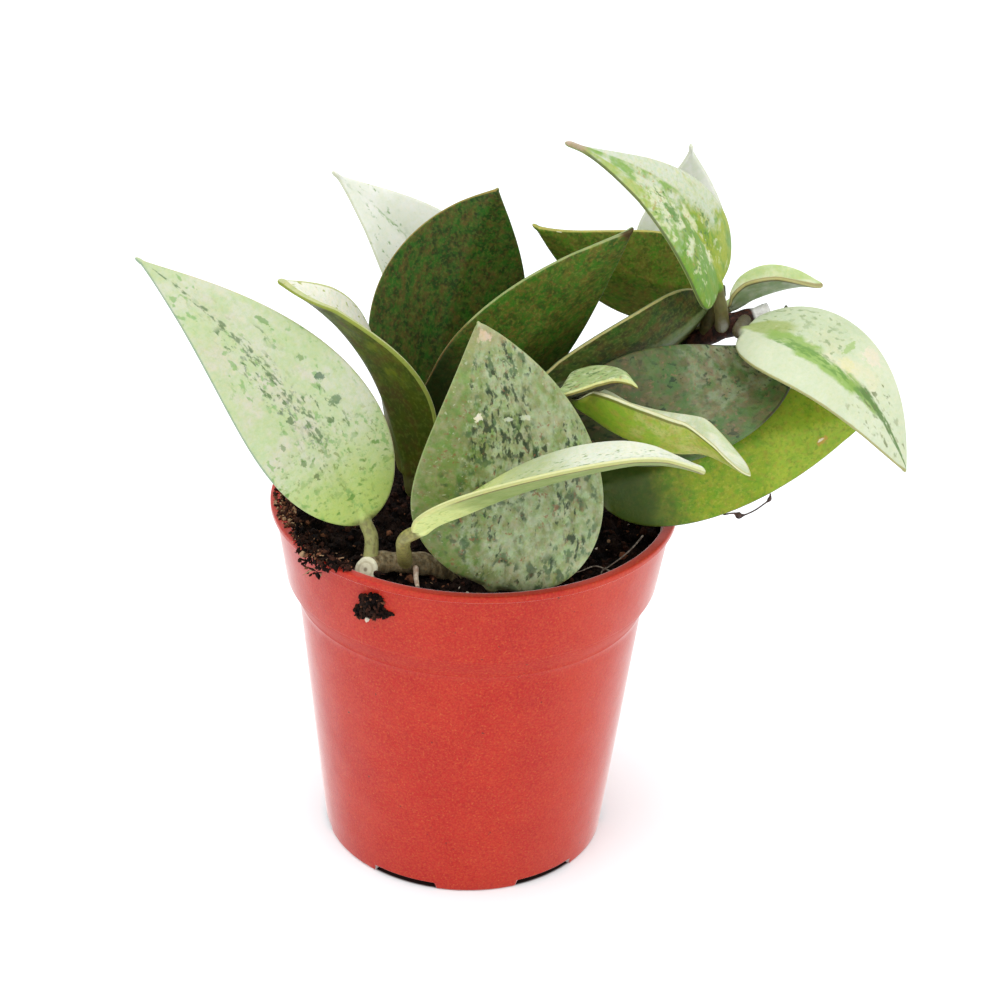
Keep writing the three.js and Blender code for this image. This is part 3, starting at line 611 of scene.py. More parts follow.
LOOKS = {
    "leaf_01_front_left": dict(
        gloss=0.35, grain=0.5, stalk=(160, 158, 100),
        upper=[
            mark((202, 212, 176)),
            blotches((214, 217, 197), 0.44, (5, 8), amount=0.7),
            blotches((214, 206, 192), 0.36, (4, 6), across=(-0.9, 0.4), along=(0.3, 0.8), amount=0.55),
            blotches((184, 210, 146), 0.4, (2, 3), amount=0.5),
            base_zone((178, 202, 90), 0.06, 0.28, 0.8),
            flecks((120, 172, 88), 0.24, (0.9, 1.3), clusters=0.9, amount=0.65),
            flecks((84, 118, 62), 0.23, (0.7, 1.5), across=(-0.3, 0.4), along=(0.1, 0.92), clusters=0.8,
                   fades=(0.2, 0.05), amount=0.85),
            flecks((112, 126, 114), 0.22, (0.6, 1.0), across=(-0.35, 0.1), along=(0.3, 0.65), amount=0.6),
            flecks((96, 146, 52), 0.25, (1.4, 1.1), along=(0.04, 0.27), clusters=0.6, amount=0.8),
            flecks((110, 130, 54), 0.21, (0.6, 0.8), along=(0.02, 0.3), clusters=0.5, amount=0.6),
            mark((96, 122, 80), size=(0.5, 0.9), cover=0.34, across=(-0.05, 0.05), along=(0.3, 0.93),
                 fades=(0.05, 0.05), ragged=(0.25, 0), amount=0.8),
            spot((92, 124, 82), 0.49, 0.37, (0.11, 0.012), 0.75),
            spot((84, 116, 88), 0.54, 0.45, (0.065, 0.012), 0.85),
            spot((104, 144, 76), 0.54, 0.52, (0.05, 0.014), 0.65),
            spot((98, 148, 70), 0.66, 0.66, (0.05, 0.022), 0.65),
            spot((88, 116, 68), -0.24, 0.4, (0.05, 0.016), 0.8),
            spot((92, 128, 66), -0.46, 0.27, (0.05, 0.012), 0.75),
            spot((98, 116, 60), -0.41, 0.21, (0.05, 0.013), 0.75),
            spot((104, 136, 80), -0.58, 0.35, (0.04, 0.012), 0.65),
            rim((214, 200, 160), across=(0.3, 2)),
            rim((140, 164, 150), across=(-2, -0.3), along=(0.3, 2)),
        ],
        under=two_tones((198, 210, 160), (168, 190, 130)),
    ),
    "leaf_02_left_back": dict(
        gloss=0.1, grain=0.5, stalk=(94, 96, 50),
        upper=[mark((250, 250, 238)), flecks((186, 196, 126), 0.2), rim((180, 190, 96), 0.4)],
        under=[
            mark((78, 90, 10)),
            blotches((114, 126, 30), 0.42, (2, 4), along=(0.4, 1)),
            blotches((64, 82, 20), 0.4, (1.4, 2.4), amount=0.7),
            blotches((96, 76, 34), 0.32, (1.4, 2), amount=0.6),
            flecks((104, 120, 44), 0.3, (0.45, 0.7), amount=0.5),
            rim((182, 194, 96), 0.35),
        ],
    ),
    "leaf_03_back": dict(
        gloss=0.3, grain=0.25, stalk=(160, 160, 110),
        upper=[
            mark((250, 251, 244)),
            blotches((236, 242, 224), 0.4, (3, 4), amount=0.6),
            flecks((130, 168, 110), 0.21, (0.6, 1.0), clusters=0.9, amount=0.8),
            mark((160, 190, 140), size=(0.5, 1), cover=0.35, across=(-0.03, 0.03), along=(0.2, 0.95),
                 fades=(0.05, 0.05), ragged=(0.1, 0), amount=0.7),
            rim((206, 210, 172), 0.1, 0.5),
        ],
        under=two_tones((210, 215, 186), (194, 204, 164)),
    ),
    "leaf_04_centre": dict(
        gloss=0.12, grain=1.0, stalk=(72, 68, 38),
        upper=two_tones((170, 190, 140), (140, 165, 110)),
        under=[
            mark((66, 92, 36)),
            blotches((50, 106, 30), 0.4, (1.6, 3.0), amount=0.8),
            blotches((104, 82, 44), 0.36, (1.2, 2.2), amount=0.7),
            blotches((32, 52, 22), 0.34, (0.9, 1.4), amount=0.75),
            flecks((112, 130, 60), 0.3, (0.45, 0.6), amount=0.35),
            flecks((116, 82, 50), 0.28, (0.4, 0.5), amount=0.3),
            flecks((40, 104, 32), 0.3, (0.4, 0.5), amount=0.35),
            rim((120, 130, 70), 0.08, 0.5),
            # Painted highlight: a thin orange-yellow line of light along this margin.
            rim((182, 150, 84), 0.06, 0.6, across=(0, 2), along=(0.35, 2)),
        ],
    ),
    "leaf_05_centre_right": dict(
        gloss=0.12, grain=1.0, stalk=(72, 68, 38),
        upper=two_tones((170, 190, 140), (140, 165, 110)),
        under=[
            mark((88, 112, 42)),
            blotches((66, 122, 34), 0.4, (1.6, 3.0), amount=0.8),
            blotches((120, 100, 48), 0.36, (1.2, 2.2), amount=0.65),
            blotches((48, 72, 26), 0.34, (0.9, 1.4), amount=0.7),
            flecks((134, 148, 66), 0.3, (0.45, 0.6), amount=0.4),
            flecks((136, 98, 54), 0.28, (0.4, 0.5), amount=0.35),
            flecks((50, 118, 32), 0.3, (0.4, 0.5), amount=0.5),
            # Painted shade: nearly black green near the petiole, where the leaf's lower part lies in deep
            # shade.
            base_zone((24, 32, 12), 0.24, 0.3, 0.85),
            rim((158, 116, 74), 0.03, 0.5, across=(0, 2), along=(-1, 0.5)),
            rim((178, 188, 134), 0.08, 0.75, across=(0, 2), along=(0.5, 2)),
            rim((120, 130, 70), 0.06, 0.5, across=(-2, 0)),
            mark((72, 44, 26), along=(0.975, 2), fades=(0.1, 0.02), amount=0.85),
        ],
    ),
    "leaf_06_back_right": dict(
        gloss=0.12, grain=0.9, stalk=(72, 68, 38),
        upper=two_tones((170, 190, 140), (140, 165, 110)),
        under=[
            mark((114, 138, 52)),
            blotches((92, 146, 40), 0.4, (1.6, 3.0), amount=0.8),
            blotches((136, 122, 56), 0.34, (1.2, 1.8), amount=0.6),
            blotches((72, 96, 34), 0.32, (0.9, 1.3), amount=0.65),
            flecks((150, 160, 72), 0.3, (0.45, 0.6), amount=0.5),
            flecks((146, 108, 60), 0.28, (0.4, 0.5), amount=0.45),
            spot((235, 235, 215), -0.87, 0.89, (0.06, 0.012)),
            rim((214, 204, 120), 0.12, 0.8, across=(-2, 0)),
        ],
    ),
    "leaf_07_front": dict(
        gloss=0.3, grain=0.8, stalk=(116, 118, 78),
        upper=[
            mark((150, 172, 112)),
            blotches((88, 124, 46), 0.56, (3, 5), across=(-1, -0.3), along=(0.05, 0.75), amount=0.9),
            blotches((128, 158, 84), 0.4, (2.2, 3.2), amount=0.7),
            blotches((184, 200, 164), 0.44, (2.4, 3.0), across=(-0.2, 1), amount=0.8),
            blotches((168, 156, 128), 0.36, (1.2, 1.6), amount=0.55),
            blotches((122, 136, 76), 0.36, (1.0, 1.5), amount=0.6),
            blotches((186, 198, 168), 0.32, (1.0, 1.4), across=(-0.5, 1), amount=0.55),
            # Painted shade: darker green along the base of the blade.
            mark((84, 98, 62), along=(-1, 0.01), fades=(0.1, 0.06), amount=0.45),
            flecks((58, 82, 54), 0.3, (1.4, 2.0), across=(-0.7, 0.9), along=(0.05, 0.45), clusters=0.85,
                   amount=0.75),
            flecks((76, 106, 68), 0.28, (1.0, 1.7), across=(-0.5, 1), clusters=0.95, amount=0.8),
            flecks((40, 58, 34), 0.25, (0.7, 1.5), across=(-0.5, 0.9), along=(0.06, 0.9), clusters=0.95,
                   amount=0.9),
            mark((46, 62, 40), size=(0.7, 1.6), cover=0.33, soft=0.05, across=(-0.4, 0.25),
                 along=(0.53, 0.66), fades=(0.1, 0.03), ragged=(0.1, 0.05), amount=0.9),
            mark((52, 70, 44), size=(0.7, 1.5), cover=0.28, soft=0.05, across=(-0.15, 0.4),
                 along=(0.72, 0.84), fades=(0.1, 0.03), ragged=(0.1, 0.05), amount=0.85),
            flecks((146, 92, 66), 0.2, (0.6, 0.7), clusters=0.6, amount=0.7),
            flecks((200, 206, 178), 0.17, (0.6, 0.6), clusters=0.6, amount=0.6),
            mark((170, 160, 122), size=(1.5, 1.5), cover=0.5, along=(0.935, 2), fades=(0.1, 0.04),
                 ragged=(0.2, 0.05), amount=0.6),
            # Painted highlight: a soft pinkish-white reflection at the tip.
            spot((232, 204, 184), 0.05, 0.95, (0.4, 0.024), 0.65),
            spot((248, 240, 226), -0.35, 0.68, (0.07, 0.013)),
            spot((214, 222, 200), 0.07, 0.655, (0.06, 0.009), 0.8),
            spot((220, 226, 206), 0.32, 0.655, (0.07, 0.009), 0.8),
            rim((168, 184, 128), 0.1, 0.5),
        ],
        under=two_tones((126, 146, 86), (100, 126, 60)),
    ),
    "leaf_08_front_arch": dict(
        gloss=0.35, grain=0.5, stalk=(146, 138, 76),
        upper=[
            mark((207, 217, 182)),
            blotches((190, 205, 150), 0.4, (2, 4), amount=0.6),
            mark((242, 246, 234), along=(0.62, 2), fades=(0.1, 0.2), ragged=(0, 0.1), amount=0.9),
            base_zone((232, 244, 150), 0.14, 0.28, 0.9),
            flecks((126, 156, 96), 0.22, (0.5, 1.2), across=(-0.5, 0.2), amount=0.8),
            flecks((128, 168, 62), 0.28, (0.6, 0.7), along=(0.02, 0.2), amount=0.85),
            mark((176, 184, 84), edge=(-1, 0.9), fades=(0.1, 0.1, 0.4), across=(0, 2), along=(-1, 0.65),
                 amount=0.5),
            rim((230, 232, 172), 0.16, 0.8, across=(0, 2)),
        ],
        under=[
            mark((160, 178, 106)),
            blotches((136, 160, 80), 0.4, (2, 3), amount=0.7),
            # Painted shade: a brown line just inside the margin, where the margin's overhang shades the
            # underside.
            mark((118, 98, 46), edge=(0.25, 0.6), fades=(0.1, 0.1, 0.15), ragged=(0, 0, 0.3), amount=0.8),
            base_zone((240, 250, 168), 0.12, 0.2, 0.95),
            flecks((150, 186, 84), 0.25, (0.7, 0.8), along=(-1, 0.16), clusters=0.5, amount=0.6),
            rim((214, 212, 140), 0.16, 0.8),
        ],
    ),
    "leaf_09_right_arch": dict(
        gloss=0.3, grain=0.6, stalk=(110, 110, 60),
        upper=[mark((232, 236, 218)), blotches((206, 218, 180)), rim((200, 192, 130), 0.12)],
        # Partly painted light: the underside's own yellow-green, painted brighter for light shining through
        # the leaf.
        under=[
            mark((170, 190, 58)),
            blotches((142, 186, 46), 0.42, (2, 4), along=(-1, 0.5), amount=0.8),
            blotches((200, 200, 116), 0.36, (2, 3), along=(0.35, 1), amount=0.8),
            blotches((184, 154, 78), 0.3, (1.0, 1.6), amount=0.4),
            flecks((126, 172, 44), 0.3, (0.5, 0.6), amount=0.4),
            # Painted shade: an olive-brown line just inside the margin, where the margin's overhang shades
            # the underside.
            mark((112, 112, 46), edge=(0.2, 0.6), fades=(0.1, 0.1, 0.2), ragged=(0, 0, 0.3), amount=0.8),
            rim((238, 238, 200), 0.16, 0.9),
        ],
    ),
    "leaf_10_small_arch": dict(
        gloss=0.3, grain=0.7, stalk=(120, 130, 84),
        upper=[
            mark((216, 230, 182)),
            blotches((166, 194, 124), 0.44, (1.2, 2), amount=0.75),
            flecks((100, 128, 76), 0.26, (0.6, 0.9), clusters=0.5, amount=0.8),
            flecks((170, 110, 90), 0.2, (0.5, 0.6), amount=0.5),
            rim((220, 220, 148), 0.18, 0.8, across=(0, 2)),
        ],
        under=[mark((72, 54, 30)), blotches((52, 60, 26)), rim((170, 160, 80), 0.12)],
    ),
    "leaf_11_long_dark": dict(
        gloss=0.15, grain=1.0, stalk=(76, 66, 40),
        upper=two_tones((120, 140, 100), (96, 120, 76)),
        under=[
            mark((74, 90, 20)),
            blotches((58, 102, 32), 0.4, (1.6, 3.0), amount=0.8),
            blotches((106, 78, 42), 0.36, (1.4, 2.4), amount=0.7),
            blotches((42, 56, 22), 0.34, (1.0, 1.4), amount=0.7),
            flecks((110, 124, 58), 0.3, (0.45, 0.6), amount=0.5),
            # Painted highlights: a pale band along the keel, and a paler grey patch towards the tip, for the
            # underside's gloss at a grazing angle.
            mark((134, 150, 104), size=(1, 2), cover=0.6, soft=0.2, across=(-0.1, 0.22), fades=(0.08, 0.1),
                 ragged=(0.14, 0), amount=0.75),
            mark((156, 168, 140), size=(1.5, 1.5), cover=0.5, soft=0.2, across=(0.1, 0.9),
                 along=(0.72, 0.93), ragged=(0.3, 0.08), amount=0.6),
            rim((204, 196, 140), 0.14, 0.85, across=(-2, 0)),
        ],
    ),
    "leaf_12_shaded": dict(
        gloss=0.25, grain=0.9, stalk=(70, 62, 40),
        # Painted shade: the silvered upper side is painted in the dark grey-greens it shows in shadow,
        # darker brown at the base.
        upper=[
            mark((106, 130, 80)),
            blotches((78, 116, 64), 0.42, (2.4, 3.4), along=(-1, 0.75), amount=0.75),
            blotches((150, 160, 130), 0.4, (2, 2.4), along=(0.35, 1), across=(-1, 0.4), amount=0.8),
            blotches((126, 100, 80), 0.34, (1.2, 1.6), amount=0.55),
            base_zone((80, 66, 44), 0.05, 0.2, 0.6),
            flecks((42, 62, 42), 0.26, (0.8, 1.0), clusters=0.6, amount=0.85),
            flecks((156, 118, 98), 0.2, (0.6, 0.7), amount=0.5),
            rim((60, 44, 28), 0.2, 0.75, along=(0.5, 2)),
        ],
        under=[mark((90, 104, 60)), blotches((72, 88, 46)),
               # Painted highlight: a pale margin at the tip, where the apex stands in light.
               rim((206, 206, 190), 0.4, 0.8, along=(0.85, 2))],
    ),
    "leaf_13_low_right": dict(
        gloss=0.2, grain=0.9, stalk=(70, 70, 36),
        upper=two_tones((150, 170, 80), (130, 152, 60)),
        # Partly painted light: the underside's own yellow-green, painted brighter for light shining through
        # the leaf.
        under=[
            mark((136, 166, 24)),
            blotches((108, 160, 26), 0.42, (1.6, 2.2), amount=0.75),
            blotches((166, 172, 42), 0.36, (1.4, 2.0), amount=0.6),
            mark((170, 196, 60), size=(3, 3), cover=0.6, soft=0.2, along=(0.66, 2), fades=(0.1, 0.15),
                 ragged=(0, 0.1), amount=0.7),
            blotches((166, 130, 58), 0.26, (0.8, 1.0), amount=0.4),
            flecks((92, 136, 22), 0.27, (0.6, 0.6), clusters=0.4, amount=0.5),
            flecks((184, 186, 72), 0.26, (0.4, 0.5), amount=0.4),
            # Painted shade: dark green at the base, where the leaf lies in shadow.
            base_zone((54, 74, 22), 0.12, 0.26, 0.9),
            spot((206, 156, 74), -0.44, 0.79, (0.12, 0.024), 0.8),
            spot((248, 236, 210), -0.42, 0.785, (0.05, 0.011)),
            rim((80, 92, 44), 0.14, 0.75, across=(-2, 0)),
        ],
    ),
    "leaf_14_far_right": dict(
        gloss=0.35, grain=0.35, stalk=(78, 62, 44),
        upper=[
            mark((219, 227, 198)),
            blotches((208, 219, 186), 0.42, (3, 5), amount=0.6),
            blotches((228, 224, 190), 0.4, (2, 3), across=(-0.45, 0.05), along=(0.35, 0.66), amount=0.7),
            mark((190, 206, 168), size=(3, 4), cover=0.6, soft=0.2, across=(-1, -0.2), along=(-1, 0.42),
                 fades=(0.2, 0.15), amount=0.6),
            flecks((140, 160, 112), 0.27, (0.9, 1.2), across=(-0.75, 0.05), along=(0.08, 0.45),
                   clusters=0.5, amount=0.75),
            mark((160, 178, 92), size=(1.4, 1.6), cover=0.6, across=(-0.3, 0.08), along=(0.03, 0.2),
                 fades=(0.12, 0.06), ragged=(0.25, 0.08), amount=0.8),
            mark((146, 182, 84), size=(1.2, 2.2), cover=0.62, soft=0.1, across=(-0.02, 0.22),
                 along=(0.17, 0.36), fades=(0.1, 0.07), ragged=(0.25, 0.06), amount=0.9),
            mark((146, 184, 80), size=(1.2, 2.2), cover=0.66, soft=0.1, across=(0.14, 0.34),
                 along=(0.33, 0.62), ragged=(0.22, 0.06), amount=0.9),
            mark((136, 172, 74), size=(1.0, 2.0), cover=0.62, soft=0.1, across=(0.02, 0.2),
                 along=(0.58, 0.74), ragged=(0.2, 0.06), amount=0.85),
            mark((104, 150, 60), size=(0.6, 1.4), cover=0.4, soft=0.08, across=(0.1, 0.26),
                 along=(0.2, 0.66), fades=(0.06, 0.05), ragged=(0.16, 0.04), amount=0.8),
            mark((88, 126, 56), size=(0.6, 1.4), cover=0.5, soft=0.1, across=(-0.06, 0.1),
                 along=(0.66, 1.0), fades=(0.06, 0.05), ragged=(0.14, 0), amount=0.9),
            spot((156, 190, 104), -0.42, 0.48, (0.22, 0.016), 0.7),
            spot((238, 224, 206), -0.68, 0.57, (0.2, 0.05), 0.65),
            spot((232, 226, 176), -0.12, 0.53, (0.14, 0.04), 0.6),
            flecks((112, 122, 76), 0.25, (0.7, 1.1), across=(-0.5, 0.7), along=(0.68, 0.92), clusters=0.5,
                   amount=0.8),
            rim((174, 166, 92), 0.14, 0.8, across=(0, 2)),
        ],
        under=two_tones((204, 210, 160), (184, 196, 130)),
    ),
    "leaf_15_right_arch": dict(
        gloss=0.25, grain=0.6, stalk=(110, 110, 66),
        upper=[mark((222, 232, 190)), blotches((194, 214, 150)),
               rim((150, 120, 50), 0.14, 0.7, across=(0, 2))],
        under=[
            mark((168, 180, 150)),
            blotches((140, 162, 116), 0.4, (1.2, 1.8)),
            # Painted shade: a dark brown line just inside the margin, where the margin's overhang shades the
            # underside.
            mark((96, 82, 42), edge=(0.15, 0.35), fades=(0.1, 0.1, 0.15), amount=0.7),
            rim((214, 200, 130), 0.12, 0.7),
        ],
    ),
    "leaf_16_splashed": dict(
        gloss=0.3, grain=0.7, stalk=(112, 100, 62),
        upper=[
            mark((126, 160, 30)),
            blotches((108, 160, 42), 0.44, (2.2, 3.2), along=(-1, 0.62), amount=0.85),
            blotches((172, 184, 46), 0.42, (2.0, 3.2), across=(0.0, 2), along=(-1, 0.58), amount=0.85),
            mark((216, 222, 204), size=(3, 4), cover=0.66, soft=0.15, along=(0.56, 2), fades=(0.1, 0.16),
                 ragged=(0.3, 0.3), amount=0.95),
            mark((214, 222, 204), size=(1.6, 3.4), cover=0.6, soft=0.14, across=(0.5, 2), along=(0.3, 2),
                 fades=(0.3, 0.1), ragged=(0.4, 0.3), amount=0.85),
            blotches((132, 174, 74), 0.38, (1.7, 2.6), across=(-1, 0.3), along=(0.46, 0.92), amount=0.9),
            blotches((168, 188, 84), 0.5, (1.2, 4.0), across=(-1, -0.5), along=(0.6, 0.98), amount=0.8),
            mark((222, 228, 194), size=(1.7, 2.2), cover=0.33, soft=0.06, across=(-0.9, 0.1),
                 along=(0.36, 0.64), ragged=(0.2, 0.1), amount=0.9),
            mark((214, 222, 176), size=(1.0, 1.5), cover=0.26, soft=0.04, across=(-1, 0.8),
                 along=(0.05, 0.75), clusters=0.85, amount=0.7),
            spot((232, 236, 200), -0.08, 0.2, (0.11, 0.04), 0.9),
            spot((214, 224, 170), -0.68, 0.26, (0.05, 0.02), 0.7),
            spot((94, 142, 50), -0.34, 0.51, (0.16, 0.05), 0.85),
            spot((222, 228, 200), -0.5, 0.6, (0.2, 0.05), 0.8),
            flecks((88, 126, 54), 0.25, (0.7, 0.9), across=(-0.8, 0.4), along=(0.2, 0.6), clusters=0.7,
                   amount=0.85),
            flecks((176, 150, 84), 0.22, (0.7, 0.9), along=(0.3, 0.7), clusters=0.7, amount=0.6),
            mark((196, 164, 150), along=(0.95, 2), amount=0.8),
            rim((92, 100, 56), 0.12, 0.8, across=(-2, 0), along=(-1, 0.9)),
            rim((220, 226, 204), 0.16, 0.7, across=(0, 2)),
        ],
        under=two_tones((170, 185, 110), (150, 170, 90)),
    ),
    "leaf_17_far_back": dict(
        gloss=0.3, grain=0.2, stalk=(160, 160, 110),
        upper=[mark((255, 255, 248)), blotches((244, 248, 232), 0.4, (2, 3)),
               rim((214, 218, 190), 0.1, 0.5)],
        under=two_tones((210, 215, 186), (196, 206, 168)),
    ),
}


def mark_mask(tree, place, share, one, number):
    """Where one marking or spot lies."""
    if "centre" in one:
        return use_group(
            tree, SCAR, Place=place, Share=share, Centre=one["centre"], Reach=one["reach"],
            Amount=one["amount"])["Mask"]
    return use_group(
        tree, MARKING, Place=place, Share=share, Size=one["size"], Shift=(0, 0, MARK_SHIFT * number),
        Cover=one["cover"], Soft=one["soft"], Clusters=one["clusters"], Low=one["low"], High=one["high"],
        Fade=one["fades"], Ragged=one["ragged"], Amount=one["amount"])["Mask"]


def add_marks(tree, place, share, marks):
    """The first marking's colour, with the others laid over it one after another."""
    colour = marks[0]["colour"]
    for number, one in enumerate(marks[1:]):
        colour = mix_colours(tree, mark_mask(tree, place, share, one, number), colour, one["colour"])
    return colour


def leaf_material(name, look):
    """Waxy, thick leaf: the markings of each side, the petiole's colour, fine mottling and a gloss that
    wanders."""
    material, tree, shader = new_material(name, Specular_IOR_Level=look["gloss"])
    place = attribute(tree, "place")
    share = attribute(tree, "share")
    on_petiole = dict(along=(-1, 0.0), fades=(0.1, 0.03))
    petiole = [
        mark(look["stalk"], ragged=(0, 0.04), amount=0.9, **on_petiole),
        mark((104, 92, 58), size=(0.4, 0.7), cover=0.34, amount=0.5, **on_petiole),
    ]
    upper = fade(tree, attribute(tree, "face", "Fac"), -0.3, 0.3)
    below = add_marks(tree, place, share, look["under"] + petiole)
    above = add_marks(tree, place, share, look["upper"] + petiole)
    colour = mix_colours(tree, upper, below, above)
    grain = use_group(tree, MOTTLE, Place=place, Scale=1.5, Amount=look["grain"])
    colour = tint(tree, grain["Dark"], colour, (0.76, 0.9, 0.68))
    colour = tint(tree, grain["Warm"], colour, (1.12, 1.0, 0.8))
    tree.links.new(colour, shader.inputs["Base Color"])
    relief = use_group(tree, RELIEF, Place=place, Grain=2.2, Dents=0.3)
    add_bump(tree, shader, relief["Height"], 0.5, 0.1)
    roughness = calc(tree, "MULTIPLY_ADD", relief["Wander"], 0.5, 0.5)
    tree.links.new(roughness, shader.inputs["Roughness"])
    return material


# ------------------------------------------------------------------ leaves
LEAF_RING = 96  # points round a blade, a multiple of 4 so that both margins have one
LEAF_ROWS = 112
PETIOLE_ROWS = 20
STALK_RADIUS = 0.92  # of a petiole where it meets its blade


def pattern_layer(face, number):
    """Depth in the markings' noise: each leaf and each of its faces has its own."""
    return 10 * face + 37 * number


def midrib(leaf, t):
    """The parabola that starts at base, passes bend half-way and ends at the tip."""
    base, bend, tip = (np.array(leaf[key], float) for key in ("base", "bend", "tip"))
    control = 2 * bend - 0.5 * base - 0.5 * tip
    t = np.asarray(t, float)[..., None]
    return (1 - t) ** 2 * base + 2 * t * (1 - t) * control + t**2 * tip


def blade_frame(leaf, t):
    """Forward, upper-side and sideways directions of the blade at shares t of its length."""
    forward = unit(midrib(leaf, np.minimum(1, t + 0.01)) - midrib(leaf, np.maximum(0, t - 0.01)))
    at_base = unit(np.array(leaf["faces"], float))
    at_tip = unit(np.array(leaf.get("faces_tip", leaf["faces"]), float))
    faces = blend(at_base, at_tip, t[:, None])
    upper = unit(faces - forward * np.sum(faces * forward, axis=1, keepdims=True))
    return forward, upper, np.cross(forward, upper)


def half_width(leaf, t):
    """t^a (1 - t)^b, scaled so that its largest value is half the blade's width."""
    a, b = leaf.get("fullness", 0.6), leaf.get("taper", 1.05)
    widest = a / (a + b)
    peak = widest**a * (1 - widest) ** b
    return leaf["width"] / 2 * t**a * (1 - t) ** b / peak


def blade_rings(leaf, number):
    """Rings of points round the blade, and what the markings need at each point.

    A ring's angle runs from the middle of the upper side to the margin and back under it, and s, its sine,
    is the share across. The middle surface rises from the midrib by the fold, rounded over the crease, the
    margins curl down and wave a little, and a hooked tip dips with the square of the last stretch. The two
    faces stand off it along its normal by half of the thickness, which is drawn in to nothing over a
    quarter circle at the margin and the tip. A shallow groove runs over the midrib, and a ridge under it.
    At the base the petiole's circle stands out of both faces and sinks into them along the blade."""
    turn = np.arange(LEAF_ROWS) / (LEAF_ROWS - 1)
    t = (0.5 - 0.5 * np.cos(np.pi * turn))[:, None]
    angle = 2 * np.pi * np.arange(LEAF_RING)[None] / LEAF_RING
    s = np.sin(angle)
    face = np.where(np.abs(s) > ON_MARGIN, 0.0, np.sign(np.cos(angle)))
    _, upper, side = (part[:, None] for part in blade_frame(leaf, t[:, 0]))
    spine = midrib(leaf, t[:, 0])
    length = np.sum(np.linalg.norm(np.diff(spine, axis=0), axis=1))
    to_tip = quarter_round(length * (1 - t), TIP_ROUNDING)
    stalk = STALK_RADIUS * (1 - smooth(0, PETIOLE_SINKS / length, t))
    half = np.maximum(half_width(leaf, t), np.maximum(stalk, POINT_HALF_WIDTH)) * to_tip
    open_out = np.minimum(1, half / FLATTENS) * smooth(0, BLADE_OPENS / length, t)
    fold = open_out * np.radians(blend(leaf["fold"], leaf.get("fold_tip", leaf["fold"]), t))
    curl = leaf.get("curl", 0)
    crease = np.hypot(s, CREASE)
    wave = 0.009 * s**2 * np.sin(2 * np.pi * (1.6 * t + 0.37 * number) + 0.9 * np.sign(s))
    half_side, at_base, at_tip = leaf.get("lean", (1, 0, 0))
    wide = half * (1 + blend(at_base, at_tip, t) * smooth(0.03, 0.25, t) * (s * half_side > 0))
    across = wide * s * np.cos(fold)
    rise = wide * ((crease - CREASE) * np.sin(fold) - curl * s**4 + wave)
    slope = (s / crease * np.sin(fold) - 4 * curl * s**3) / np.cos(fold)
    dip = leaf.get("hook", 0) * np.maximum(0, (t - HOOK_FROM) / (1 - HOOK_FROM)) ** 2
    normal = unit(upper - side * slope[..., None])
    edge = wide * (1 - np.abs(s))
    thick = blend(BLADE_THICKNESS, MARGIN_THICKNESS, s**2) / 2 * to_tip
    thick = thick * smooth(0, BLADE_THICKENS / length, t)
    thick = thick * quarter_round(edge + 1e-6, np.minimum(0.4, half * 0.8) + 1e-6)
    stalk_round = np.sqrt(np.maximum(0, stalk**2 - (wide * s) ** 2))
    thick = np.hypot(thick, stalk_round)
    near_midrib = np.exp(-((wide * s / MIDRIB_REACH) ** 2)) * smooth(0.04, 0.2, t) * (1 - t)
    groove = np.where(face > 0, -GROOVE_DEPTH, RIDGE_HEIGHT) * near_midrib
    skin = spine[:, None] + side * across[..., None] + upper * (rise - dip)[..., None]
    rings = skin + normal * (face * (thick + groove))[..., None]
    place = np.stack(np.broadcast_arrays(wide * s, length * t, pattern_layer(face, number)), -1)
    share = np.stack(np.broadcast_arrays(s, t, edge), -1)
    return rings, place, share, np.broadcast_to(face, edge.shape)


def circles(path, radius, ups, sides, count):
    """Circles of count points round the points of a path, and the angles of those points."""
    angle = 2 * np.pi * np.arange(count) / count
    turned = ups[:, None] * np.cos(angle)[:, None] + sides[:, None] * np.sin(angle)[:, None]
    return path[:, None] + radius[:, None, None] * turned, angle


def petiole_rings(leaf, number):
    """Circles along the curve from the joint on the stem to the blade's base, thicker towards the joint.
    They start at the base with the blade's own directions and are carried back to the joint."""
    forward, upper, _ = (part[0] for part in blade_frame(leaf, np.array([0.0])))
    base = np.array(leaf["base"], float)
    neck = base - forward * leaf.get("neck", 2)
    route, _ = curve_through([leaf["joint"], neck, base, midrib(leaf, 0.05)], 200)
    stop = np.argmin(np.linalg.norm(route - base, axis=1))
    path, run = spread_round(np.vstack([route[:stop], base]), PETIOLE_ROWS + 1)
    ups, sides = carried_frames(path[::-1], upper)
    ups, sides = ups[::-1], -sides[::-1]
    swell = 0.03 * np.sin(1.4 * run + number) * smooth(0, 2, run[-1] - run)
    radius = blend(PETIOLE_RADIUS, STALK_RADIUS, (run / run[-1]) ** 0.6) * (1 + swell)
    rings, angle = circles(path, radius, ups, sides, LEAF_RING)
    rings = rings[:-1]
    across = np.broadcast_to(np.sin(angle), rings.shape[:2])
    below = np.broadcast_to((run[:-1] - run[-1])[:, None], rings.shape[:2])
    face = np.sign(np.cos(angle)) * (np.abs(np.sin(angle)) < ON_MARGIN)
    face = np.broadcast_to(face, rings.shape[:2])
    place = np.stack([across, below, pattern_layer(face, number)], -1)
    share = np.stack([across * 0.3, below * 0.02, np.full_like(across, 2.0)], -1)
    return rings, place, share, face


